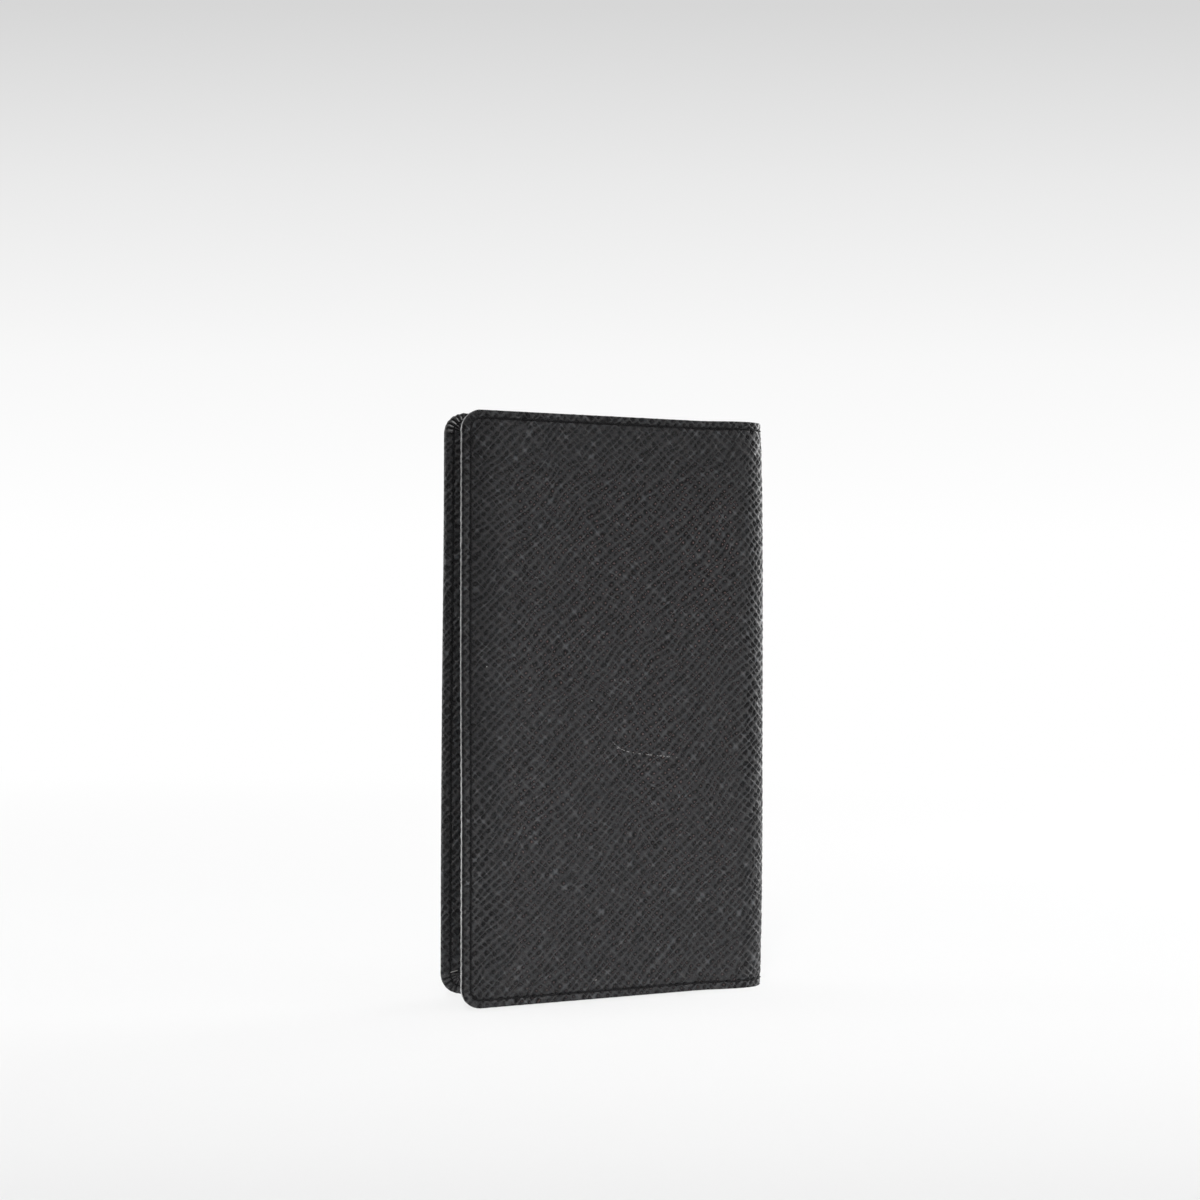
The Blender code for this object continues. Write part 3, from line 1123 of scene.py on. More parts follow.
@dataclass(frozen=True)
class PocketFinish:
    """Thin black leather of the pockets, with a fine printed grain."""

    name: str = "fine_pocket_leather"
    dark: Colour = (0.0060, 0.0058, 0.0062)
    light: Colour = (0.0290, 0.0283, 0.0290)
    ragged: float = 0.35
    ragged_noise: Noise = Noise(1.6, 3.0)
    mottle: Noise = Noise(0.3, 4.0, 0.6)
    pores: Noise = Noise(6.0, 4.0, 0.7)
    breaks: Noise = Noise(0.9)
    flank: Ease = Ease(0.26, 0.48)
    broken: Ease = Ease(0.30, 0.62)
    net_share: float = 0.60
    mottle_share: float = 0.40
    pore_share: float = 0.30
    roughness: float = 0.50
    pore_roughness: float = 0.18
    net_depth: float = 0.07 * MM
    pore_depth: float = 0.015 * MM

    def material(self) -> Material:
        """Build the material."""
        bench = NodeBench(bpy.data.materials.new(self.name))
        place = bench.object_place(PLACES_PER_METRE)
        across, up = bench.lattice()
        ragged = (bench.noise(place, self.ragged_noise) - 0.5) * self.ragged
        lines = (across + up + ragged, across - up + ragged)
        rising, falling = (abs(line.from_line()[1]).eased(self.flank) for line in lines)
        net = rising.larger(falling) * bench.noise(place, self.breaks).eased(self.broken)
        mottle, pores = bench.noise(place, self.mottle), bench.noise(place, self.pores)
        level = net * self.net_share + mottle * self.mottle_share + (pores - 0.5) * self.pore_share
        colour = bench.mix(level.clamped(), self.dark, self.light)
        # Painted shade in the crease.
        colour = bench.mix(bench.attribute("cavity"), colour, self.dark)
        rough = self.roughness + (pores - 0.5) * self.pore_roughness
        normal = bench.bump(pores, self.pore_depth, below=bench.bump(net, self.net_depth))
        return bench.principled(Base_Color=colour, Roughness=rough, Normal=normal)


@dataclass(frozen=True)
class LiningFinish:
    """Black lining cloth in a fine twill."""

    name: str = "black_twill"
    dark: Colour = (0.0060, 0.0060, 0.0066)
    light: Colour = (0.0300, 0.0300, 0.0320)
    slub: Noise = Noise(2.0)
    slub_share: float = 0.5
    fuzz: Noise = Noise(8.0, 3.0, 0.7)
    rib_share: float = 0.38
    yarn_share: float = 0.12
    yarns_per_rib: float = 2.0
    roughness: float = 0.66
    fuzz_roughness: float = 0.20
    weave_depth: float = 0.05 * MM

    def material(self) -> Material:
        """Build the material."""
        bench = NodeBench(bpy.data.materials.new(self.name))
        place = bench.object_place(PLACES_PER_METRE)
        across, up = bench.lattice()
        diagonal = across + up + (bench.noise(place, self.slub) - 0.5) * self.slub_share
        ribs = (diagonal * math.tau).sine()
        yarns = (up * (self.yarns_per_rib * math.tau)).sine()
        weave = ribs * self.rib_share + yarns * self.yarn_share + 0.5
        fuzz = bench.noise(place, self.fuzz)
        colour = bench.mix((weave * (fuzz + 0.5)).clamped(), self.dark, self.light)
        rough = self.roughness + fuzz * self.fuzz_roughness
        normal = bench.bump(weave, self.weave_depth)
        return bench.principled(Base_Color=colour, Roughness=rough, Normal=normal)


@dataclass(frozen=True)
class ThreadFinish:
    """Waxed black thread with its twist."""

    name: str = "waxed_thread"
    dark: Colour = (0.0020, 0.0020, 0.0024)
    light: Colour = (0.0120, 0.0120, 0.0130)
    twist: float = 1.1
    twist_unevenness: float = 1.5
    fuzz: Noise = Noise(9.0, 3.0, 0.7)
    roughness: float = 0.55
    strand_roughness: float = 0.25
    gloss: float = 0.15
    twist_depth: float = 0.05 * MM

    def material(self) -> Material:
        """Build the material."""
        bench = NodeBench(bpy.data.materials.new(self.name))
        place = bench.object_place(PLACES_PER_METRE)
        inputs = {"Vector": place, "Scale": self.twist, "Distortion": self.twist_unevenness}
        wave = bench.node("ShaderNodeTexWave", inputs, wave_type="BANDS", bands_direction="DIAGONAL")
        twist = Number(bench, wave.outputs["Fac"])
        strand = twist * bench.noise(place, self.fuzz)
        return bench.principled(
            Base_Color=bench.mix(strand, self.dark, self.light),
            Roughness=self.roughness + strand * self.strand_roughness,
            Specular_IOR_Level=self.gloss,
            Normal=bench.bump(twist, self.twist_depth),
        )


@dataclass(frozen=True)
class BoardFinish:
    """Bonded leather board: brown fibres pressed flat."""

    name: str = "bonded_board"
    dark: Colour = (0.14, 0.105, 0.075)
    light: Colour = (0.40, 0.33, 0.25)
    fibres_per_metre: Place = (2200.0, 2200.0, 420.0)
    flakes_per_metre: float = 260.0
    fibre: Noise = Noise(1.0, 5.0, 0.65)
    flake: Noise = Noise(1.0, 4.0, 0.6)
    fibre_share: float = 0.6
    flake_share: float = 0.4
    tones: Ease = Ease(0.35, 0.68)
    roughness: float = 0.72
    fibre_roughness: float = 0.20
    fibre_depth: float = 0.04 * MM

    def material(self) -> Material:
        """Build the material."""
        bench = NodeBench(bpy.data.materials.new(self.name))
        fibres = bench.noise(bench.object_place(self.fibres_per_metre), self.fibre)
        flakes = bench.noise(bench.object_place(self.flakes_per_metre), self.flake)
        level = fibres * self.fibre_share + flakes * self.flake_share
        colour = bench.mix(level.eased(self.tones), self.dark, self.light)
        rough = self.roughness + fibres * self.fibre_roughness
        normal = bench.bump(level, self.fibre_depth)
        return bench.principled(Base_Color=colour, Roughness=rough, Normal=normal)


@dataclass
class Finishes:
    """The materials of the whole cover, each made once."""

    leather: Material = field(default_factory=lambda: CrossGrainFinish().material())
    pocket: Material = field(default_factory=lambda: PocketFinish().material())
    lining: Material = field(default_factory=lambda: LiningFinish().material())
    thread: Material = field(default_factory=lambda: ThreadFinish().material())
    board: Material = field(default_factory=lambda: BoardFinish().material())


def dress(piece: Piece, material: Material) -> None:
    """Give a piece its material."""
    piece.data.materials.clear()
    piece.data.materials.append(material)


@dataclass(frozen=True)
class Pleats:
    """Small folds that gather the turned-in leather around a rounded corner.

    A pleat's back rises slowly and falls steeply. Shares are of one pleat, and angles start at the fore-edge.
    """

    height: float
    notch: float
    through: float
    shine: float
    first_shine: float
    wear: float
    count: float
    phase: float
    lean: float
    seed: int
    lean_reach: float = 3.0 * MM
    uneven: float = 0.012
    crest: float = 0.60
    back_share: float = 0.62
    drop: Ease = Ease(0.0, 0.8, 1.0, 0.0)
    first_end: Ease = Ease(0.0, math.radians(6.0))
    last_end: Ease = Ease(math.radians(88.0), math.radians(80.0))
    flank_middle: float = 0.50
    flank_edge: Ease = Ease(0.625, 0.125)
    shine_growth: Ease = Ease(0.0, 4.0, 0.45, 1.0)
    shine_start: Ease = Ease(0.30 * MM, 0.80 * MM)
    shine_end: Ease = Ease(1.60 * MM, 2.80 * MM, 1.0, 0.0)
    crease_place: float = 0.08
    crease_edge: Ease = Ease(0.408, 0.068)
    first_crease: float = 0.9

    def wave(self, angle: Array, inset: Array) -> tuple[Array, Array, Array]:
        """Shape of the pleats around the corner.

        Args:
            angle: Angle around the corner, 0 at the fore-edge.
            inset: Distance from the outline.

        Returns:
            1 on a pleat's back and 0 at its foot, how bright a highlight is painted on the flank that faces
            away from the fore-edge, and how dark a shade is painted in the crease at the next pleat's foot.
        """
        leaning = self.lean * np.clip(inset, 0.0, self.lean_reach) / self.lean_reach / self.count
        turn = angle / (math.pi / 2) + leaning
        turn = turn + self.uneven * np.sin(2 * math.tau * turn + self.seed)
        pleat = turn * self.count + self.phase
        part = pleat - np.floor(pleat)
        back = np.sin(0.5 * math.pi * np.clip(part / self.back_share, 0.0, 1.0))
        fall = np.clip((part - self.back_share) / (1 - self.back_share), 0.0, 1.0)
        shape = self.crest * np.where(part < self.back_share, back, self.drop(fall))
        ends = self.first_end(angle) * self.last_end(angle)
        flank = self.flank_edge(np.abs(fall - self.flank_middle)) * (part > self.back_share)
        shine = np.where(pleat < 1.0, self.first_shine, self.shine * self.shine_growth(pleat))
        shine = shine * self.shine_start(inset) * self.shine_end(inset)
        crease = self.crease_edge(np.abs(part - self.crease_place)) * (pleat > self.first_crease)
        return 1 - (1 - shape) * ends, flank * ends * shine, crease * ends


@dataclass(frozen=True)
class Scratch:
    """Way of a light scratch over the leather, which may curl up at its end."""

    start_u: float
    end_u: float
    height: float
    rise: float
    curl: float
    curl_power: int = 8
    reach: float = 2.0
    clear: float = 9.0

    def distance(self, u: Array, z: Array, marked: Array) -> Array:
        """Distance in millimetres, signed, and self.clear well away or off marked leather."""
        share = (u - self.start_u) / (self.end_u - self.start_u)
        curl = self.curl * np.clip(share, 0.0, None) ** self.curl_power
        away = (z - self.height - self.rise * share - curl) / MM
        near = marked & (share > 0.0) & (share < 1.0) & (np.abs(away) < self.reach)
        return np.where(near, away, self.clear)


@dataclass
class HidePoints:
    """Every point of one half of the hide on the bench.

    The ring counts from the outer face, 0, over the fold to the flesh side. The heading is the way to the
    outline: 0 towards the fore-edge, a right angle towards head or tail, and between them at a corner.
    """

    layout: Layout
    ring: Array
    u: Array
    z: Array
    depth: Array
    inset: Array
    way: Array
    lattice_u: Array
    lattice_z: Array
    heading: Array
    upward: Array
    at_corner: Array
    fore_gap: Array
    turn_in: Array
    on_fold: Array

    @property
    def outer(self) -> Array:
        """True on the outer face."""
        return self.ring == 0

    @property
    def front(self) -> bool:
        """True for the front cover's half."""
        return self.layout.side is Side.FRONT


@dataclass
class HideNet:
    """Net of faces that both halves of the hide are folded from, and where its points come to lie."""

    front: Layout
    layers: Layers
    grain: CrossGrain
    quarter: int = 4
    border_lines: int = 28
    border_samples: int = 600
    seam_crowd: float = 2.6
    seam_crowd_reach: float = 0.35 * MM
    fold_crowd: float = 4.0
    fold_crowd_reach: float = 0.22 * MM
    side_lines: int = 4
    round_lines: int = 4
    fold_belly: float = 0.08 * MM
    least_step: float = 0.04 * MM
    lip_steps: tuple = ((0.60 * MM, 0.0), (0.20 * MM, 0.0), (0.03 * MM, 0.05 * MM))
    under_steps: tuple = ((0.05 * MM, 0.03 * MM), (0.40 * MM, 0.0))
    inner_step: float = 0.20 * MM
    inner_round: float = 0.10 * MM
    flesh_shares: tuple[float, ...] = (0.36, 0.68, 1.0)
    tight_corner: float = 0.40 * MM
    turn_in_slack: float = 0.12 * MM

    def border_insets(self) -> Array:
        """Insets of the border's grid lines, closest together at the fold and along the seam."""
        fine = np.linspace(0.0, self.front.corner_radius, self.border_samples)
        crowd = 1.0 + self.seam_crowd * bell(fine, self.layers.seam_inset, self.seam_crowd_reach)
        crowd = crowd + self.fold_crowd * bell(fine, 0.0, self.fold_crowd_reach)
        run = np.concatenate([[0.0], np.cumsum((crowd[1:] + crowd[:-1]) / 2)])
        return np.interp(np.linspace(0.0, run[-1], self.border_lines + 1), run, fine)

    def field_counts(self) -> tuple[int, int]:
        """Number of grid steps inside the border, across and up the sheet."""
        span_u, span_z = self.field_spans(self.front)
        step_u, step_z = self.grain.cell_width / self.quarter, self.grain.cell_height / self.quarter
        return round(span_u / step_u), round(span_z / step_z)

    @staticmethod
    def field_spans(layout: Layout) -> tuple[float, float]:
        """Width and height of the sheet inside the border."""
        core = layout.core
        return core.high_u - layout.middle_u, core.high_z - core.low_z

    def cell_size(self, layout: Layout) -> tuple[float, float]:
        """Width and height of a grain cell, so that whole grid steps fill the sheet."""
        width, height = (span / count for span, count in zip(self.field_spans(layout), self.field_counts()))
        return width * self.quarter, height * self.quarter

    def edge_rings(self) -> Array:
        """Rows of inset, depth and way beyond the outline, from the outline round to the flesh side."""
        layers, edge, round_off = self.layers, self.layers.edge, self.layers.fold_rounding
        free, under, leather = layers.turn_in_width, layers.turn_in_under, layers.leather
        shares = np.arange(1, self.side_lines + 1) / self.side_lines
        side = edge - 2 * round_off
        rows = [(-self.fold_belly * math.sin(math.pi * s), round_off + s * side) for s in shares]
        for angle in np.linspace(0.0, math.pi / 2, self.round_lines + 1)[1:]:
            rows.append((round_off * (1 - math.cos(angle)), edge - round_off * (1 - math.sin(angle))))
        rows += [(inset, edge) for inset in self.border_insets() if inset > round_off + self.least_step]
        rows += [(free - back, edge - down) for back, down in self.lip_steps]
        rows.append((free, (edge + under) / 2))
        rows += [(free - back, under + up) for back, up in self.under_steps]
        rows += [(leather + self.inner_step, under), (leather, under - self.inner_round)]
        rows += [(leather, leather + self.inner_round), (leather + self.inner_step, leather), (free, leather)]
        rows += [(share * self.front.height / 2, leather) for share in self.flesh_shares]
        steps = np.diff(np.vstack([[0.0, round_off], rows]), axis=0)
        return np.column_stack([rows, np.cumsum(np.hypot(*steps.T))])

    def blank(self) -> Piece:
        """Model the net once: a grid, with its three free edges drawn down ring by ring.

        Returns:
            A piece whose points hold the grid's column, row and, downwards, the ring.
        """
        count_u, count_z = self.field_counts()
        columns = np.arange(count_u + self.border_lines + 1, dtype=float)
        rows = np.arange(count_z + 2 * self.border_lines + 1, dtype=float)
        piece = bench_grid("hide_blank", columns, rows)
        self.split_along_ridges(piece)
        points = read_points(piece.data)
        pick(piece, (points[:, 0] == columns[-1]) | (points[:, 1] == 0.0) | (points[:, 1] == rows[-1]))
        self.keep_open_edges(piece)
        with editing(piece, "EDGE"):
            for _ in range(len(self.edge_rings())):
                bpy.ops.mesh.extrude_edges_move(TRANSFORM_OT_translate={"value": (0.0, 0.0, -1.0)})
        return piece

    @staticmethod
    def keep_open_edges(piece: Piece) -> None:
        """Of the selected edges, keep only those with a single face, and drop the faces."""
        mesh = piece.data
        uses = np.bincount(read_values(mesh.loops, "edge_index", np.int32), minlength=len(mesh.edges))
        chosen = read_values(mesh.edges, "select", bool)
        mesh.edges.foreach_set("select", chosen & (uses == 1))
        mesh.polygons.foreach_set("select", np.zeros(len(mesh.polygons), bool))

    def split_along_ridges(self, piece: Piece) -> None:
        """Cut the quads that a ridge crosses into triangles along that ridge."""
        half = self.quarter / 2
        rules: dict[str, Callable[[Array, Array], Array]] = {
            "FIXED_ALTERNATE": lambda i, j: np.mod(i + j + 1, self.quarter) == half,
            "FIXED": lambda i, j: np.mod(i - j, self.quarter) == half,
        }
        for method, crosses in rules.items():
            mesh = piece.data
            centres = read_values(mesh.polygons, "center", np.float32, 3)
            sides = read_values(mesh.polygons, "loop_total", np.int32)
            i, j = np.floor(centres[:, :2]).T
            pick(piece, np.zeros(len(mesh.vertices), bool))
            mesh.polygons.foreach_set("select", (sides == 4) & crosses(i, j - self.border_lines))
            with editing(piece, "FACE"):
                bpy.ops.mesh.quads_convert_to_tris(quad_method=method, ngon_method="BEAUTY")

    def outline_places(self, layout: Layout, column: Array, row: Array) -> tuple[Array, Array]:
        """Bench place of the grid's points by column and row, with the corners rounded."""
        core, (count_u, count_z), insets = layout.core, self.field_counts(), self.border_insets()
        field_u = np.linspace(layout.middle_u, core.high_u, count_u + 1)
        field_z = np.linspace(core.low_z, core.high_z, count_z + 1)
        lines_u = np.concatenate([field_u, layout.panel_width - insets[::-1][1:]])
        lines_z = np.concatenate([insets, field_z[1:], layout.height - insets[::-1][1:]])
        return core.round_corners(lines_u[column], lines_z[row])

    def spread(self, piece: Piece, layout: Layout) -> HidePoints:
        """Find where a copy of the net comes to lie on the bench, ring by ring.

        Args:
            piece: The copy, as blank() made it.
            layout: The side's layout.

        Returns:
            The points.
        """
        column, row, drop = np.rint(read_points(piece.data)).astype(int).T
        outer, edge, middle = drop == 0, self.layers.edge, layout.height / 2
        table = np.vstack([[0.0, 0.0, 0.0], self.edge_rings()])
        inset, depth, way = table[-drop].T
        u, z = self.outline_places(layout, column, row)
        tight = self.tight_corner * np.clip(1 - inset / middle, 0.0, 1.0)
        narrow = np.maximum(layout.corner_radius - inset, tight)
        limit_u, limit_z = layout.panel_width - inset - narrow, middle - inset - narrow
        across, away = u - layout.core.high_u, np.abs(z - middle) - (layout.core.high_z - middle)
        at_fore = (across > layout.corner_radius - ON_LINE) & (away <= ON_LINE)
        at_corner = (across > ON_LINE) & (away > ON_LINE)
        heading = np.where(at_corner, np.arctan2(away, across), np.where(at_fore, 0.0, math.pi / 2))
        upward = np.where(at_fore, 0.0, np.where(z < middle, -1.0, 1.0))
        span_u, span_z = self.field_spans(layout)
        slid_u = layout.middle_u + (u - layout.middle_u) * (limit_u - layout.middle_u) / span_u
        base_u = np.where(at_corner | at_fore, limit_u, slid_u)
        base_z = middle + np.where(at_fore, (z - middle) * limit_z / (span_z / 2), upward * limit_z)
        flat = narrow + inset + way
        inset = np.where(outer, self.outer_inset(layout, u, z), inset)
        depth = np.where(outer, self.fold_drop(inset), depth)
        return HidePoints(
            layout=layout,
            ring=-drop,
            u=np.where(outer, u, base_u + narrow * np.cos(heading)),
            z=np.where(outer, z, base_z + upward * narrow * np.sin(heading)),
            depth=depth,
            inset=inset,
            way=way,
            lattice_u=np.where(outer, u, base_u + flat * np.cos(heading)),
            lattice_z=np.where(outer, z, base_z + upward * flat * np.sin(heading)),
            heading=heading,
            upward=upward,
            at_corner=at_corner,
            fore_gap=layout.panel_width - u,
            turn_in=~outer & (depth > edge - self.turn_in_slack) & (inset < self.layers.turn_in_width + MM),
            on_fold=~outer & (-drop <= self.side_lines + self.round_lines),
        )

    @staticmethod
    def outer_inset(layout: Layout, u: Array, z: Array) -> Array:
        """Distance of bench places from the rounded outline, 0 or more."""
        radius, fore_gap = layout.corner_radius, layout.panel_width - u
        end_gap = np.minimum(z, layout.height - z)
        bent = (fore_gap < radius) & (end_gap < radius)
        straight = np.minimum(fore_gap, end_gap)
        round_gap = radius - np.hypot(radius - fore_gap, radius - end_gap)
        return np.clip(np.where(bent, round_gap, straight), 0.0, None)

    def fold_drop(self, inset: Array) -> Array:
        """Depth of the outer face where it rounds off into the fold."""
        round_off = self.layers.fold_rounding
        short = np.clip(round_off - inset, 0.0, round_off)
        return round_off - np.sqrt(round_off**2 - short**2)


@dataclass
class SewnEdge:
    """How seam, hem and pleats shape the leather at each point, from 0 to 1, and the pleats' own sizes."""

    groove: Array
    pulled: Array
    hem: Array
    pleated: Array
    notched: Array
    through: Array
    fold: dict[str, Array]


@dataclass(frozen=True)
class HideTones:
    """How lively the grain is, where shade, glints and highlights are painted on the hide, and where it is
    polished, worn or marked.
    """

    pleat_calm: float = 0.85
    hem_liveliness: float = 0.25
    turn_in_liveliness: float = 0.30
    bend_liveliness: float = 0.85
    bend: Ease = Ease(2.8 * MM, -0.8 * MM)
    bend_low_loss: float = 0.45
    low_part: Ease = Ease(75 * MM, 35 * MM)
    band: Ease = Ease(3.8 * MM, 11.8 * MM, 1.0, 0.0)
    band_seam_loss: float = 0.6
    band_liveliness: float = 0.20
    band_liveliness_low: float = 0.28
    band_shade: Ease = Ease(20 * MM, 80 * MM, 0.13, 0.36)
    edge_shades: tuple = ((0.80, 0.26 * MM, 0.17 * MM), (0.28, 0.62 * MM, 0.34 * MM))
    groove_shade: float = 0.85
    groove_pleat_loss: float = 0.2
    crease_shade: float = 0.9
    hem_wear: float = 0.15
    burnish_low: Ease = Ease(75 * MM, 40 * MM, 0.22, 0.365)
    burnish_rings: float = 2.0
    burnish_end_head: float = math.radians(70.0)
    burnish_end_tail: float = math.radians(38.0)
    burnish_fade: float = 0.6
    glint_fore: Ease = Ease(70 * MM, 60 * MM)
    glint_spine: Ease = Ease(0.5 * MM, 4.5 * MM)
    glint_head_gap: float = 5 * MM
    glint_head_reach: float = 16 * MM
    glint_tail: Ease = Ease(0.0, 60 * MM, 0.55, 1.0)
    patch_width: float = 13 * MM
    patch_height: float = 16 * MM
    patch_edge: Ease = Ease(0.5 / 2.2, 1.5 / 2.2, 0.55, 1.0)
    patch_seed: int = 51
    gleam: float = 0.5
    gleam_u: float = 10 * MM
    gleam_reach: float = 8 * MM
    gleam_rise: Ease = Ease(75 * MM, 105 * MM)
    scuff: Scratch = Scratch(19.5 * MM, 38.1 * MM, height=57.2 * MM, rise=2.0 * MM, curl=2.5 * MM)
    nick: Scratch = Scratch(72.1 * MM, 73.9 * MM, height=5.75 * MM, rise=-0.45 * MM, curl=0.0)

    def beside_edge(self, points: HidePoints, sewn: SewnEdge) -> Array:
        """Share of the band beside the fore-edge, inside its seam, where shade is painted."""
        seam = (1 - sewn.hem) * (1 - self.band_seam_loss * sewn.groove)
        return self.band(points.fore_gap) * seam * points.outer

    def calm(self, points: HidePoints, sewn: SewnEdge) -> Array:
        """How flat the grain is: 1 where quite flat, 0 as pressed, less where it stands up more."""
        low = self.low_part(points.z)
        calm = (self.pleat_calm + self.hem_liveliness) * np.maximum(sewn.pleated, sewn.notched)
        calm = calm - self.hem_liveliness * sewn.hem
        calm = calm - self.turn_in_liveliness * (1 - sewn.hem) * (1 - sewn.pleated) * points.turn_in
        band = self.band_liveliness + self.band_liveliness_low * low
        calm = calm - band * self.beside_edge(points, sewn)
        bend = self.bend(points.u) * (1 - self.bend_low_loss * low)
        return calm - self.bend_liveliness * bend * points.outer

    def glint(self, points: HidePoints) -> Array:
        """Where on the outer face a glint is painted on the pits' floors, from 0 to 1."""
        u, z = points.u, points.z
        head = points.layout.height - self.glint_head_gap
        across = self.glint_fore(u) * self.glint_spine(u)
        up = Ease(head, head - self.glint_head_reach)(z) * self.glint_tail(z)
        patches = self.patch_edge(soft_noise(u / self.patch_width, z / self.patch_height, self.patch_seed))
        gleam = 1 + self.gleam * bell(u, self.gleam_u, self.gleam_reach) * self.gleam_rise(z)
        return across * up * patches * gleam * points.outer

    def burnish(self, points: HidePoints, net: HideNet) -> Array:
        """Share of a pale highlight painted along the front cover's fold at the fore-edge, which is also
        polished there.
        """
        if not points.front:
            return np.zeros(len(points.ring))
        end = np.where(points.z > points.layout.height / 2, self.burnish_end_head, self.burnish_end_tail)
        around = 1 - smooth((points.heading / end - self.burnish_fade) / (1 - self.burnish_fade))
        past_side = (points.ring - net.side_lines - 1) / self.burnish_rings
        return np.where(points.ring > 0, 1 - smooth(past_side), 0.0) * around * self.burnish_low(points.z)

    def values(self, points: HidePoints, sewn: SewnEdge, net: HideNet, shade: Array) -> dict[str, Array]:
        """Work out what the leather's material reads from the points, apart from the grain itself.

        Args:
            points: The hide's points, folded.
            sewn: Seam, hem and pleats at each point.
            net: The net that they are the points of.
            shade: Share of the band beside the fore-edge, where shade is painted.

        Returns:
            A number for each point under each name.
        """
        fold, outer, turn_in = sewn.fold, points.outer, points.turn_in
        # Painted shade along the fold and the band beside the fore-edge, in the pleats' creases and in the
        # seam groove.
        edges = (share * bell(points.fore_gap, gap, reach) for share, gap, reach in self.edge_shades)
        dark = sum(edges) * outer
        dark = dark + self.band_shade(points.z) * shade + self.crease_shade * sewn.pleated * fold["crease"]
        dark = dark + self.groove_shade * sewn.groove * (1 - self.groove_pleat_loss * sewn.pleated)
        # Pale on the pleats' backs, partly wear and partly painted highlight; painted light on the turned-in
        # hem.
        wear = fold["wear"] * sewn.pleated * fold["wave"] + self.hem_wear * sewn.hem * turn_in
        return {
            "glint": self.glint(points),
            "cavity": np.clip(dark, 0.0, 1.0),
            "wear": np.clip(wear, 0.0, 1.0),
            "scuff": self.scuff.distance(points.u, points.z, outer & points.front),
            "nick": self.nick.distance(points.u, points.z, turn_in & (not points.front)),
            # Painted highlight on the front fold at the fore-edge and on the back's pleat flanks, with real
            # polish.
            "burnish": np.maximum(self.burnish(points, net), fold["flank"] * (points.at_corner & turn_in)),
        }


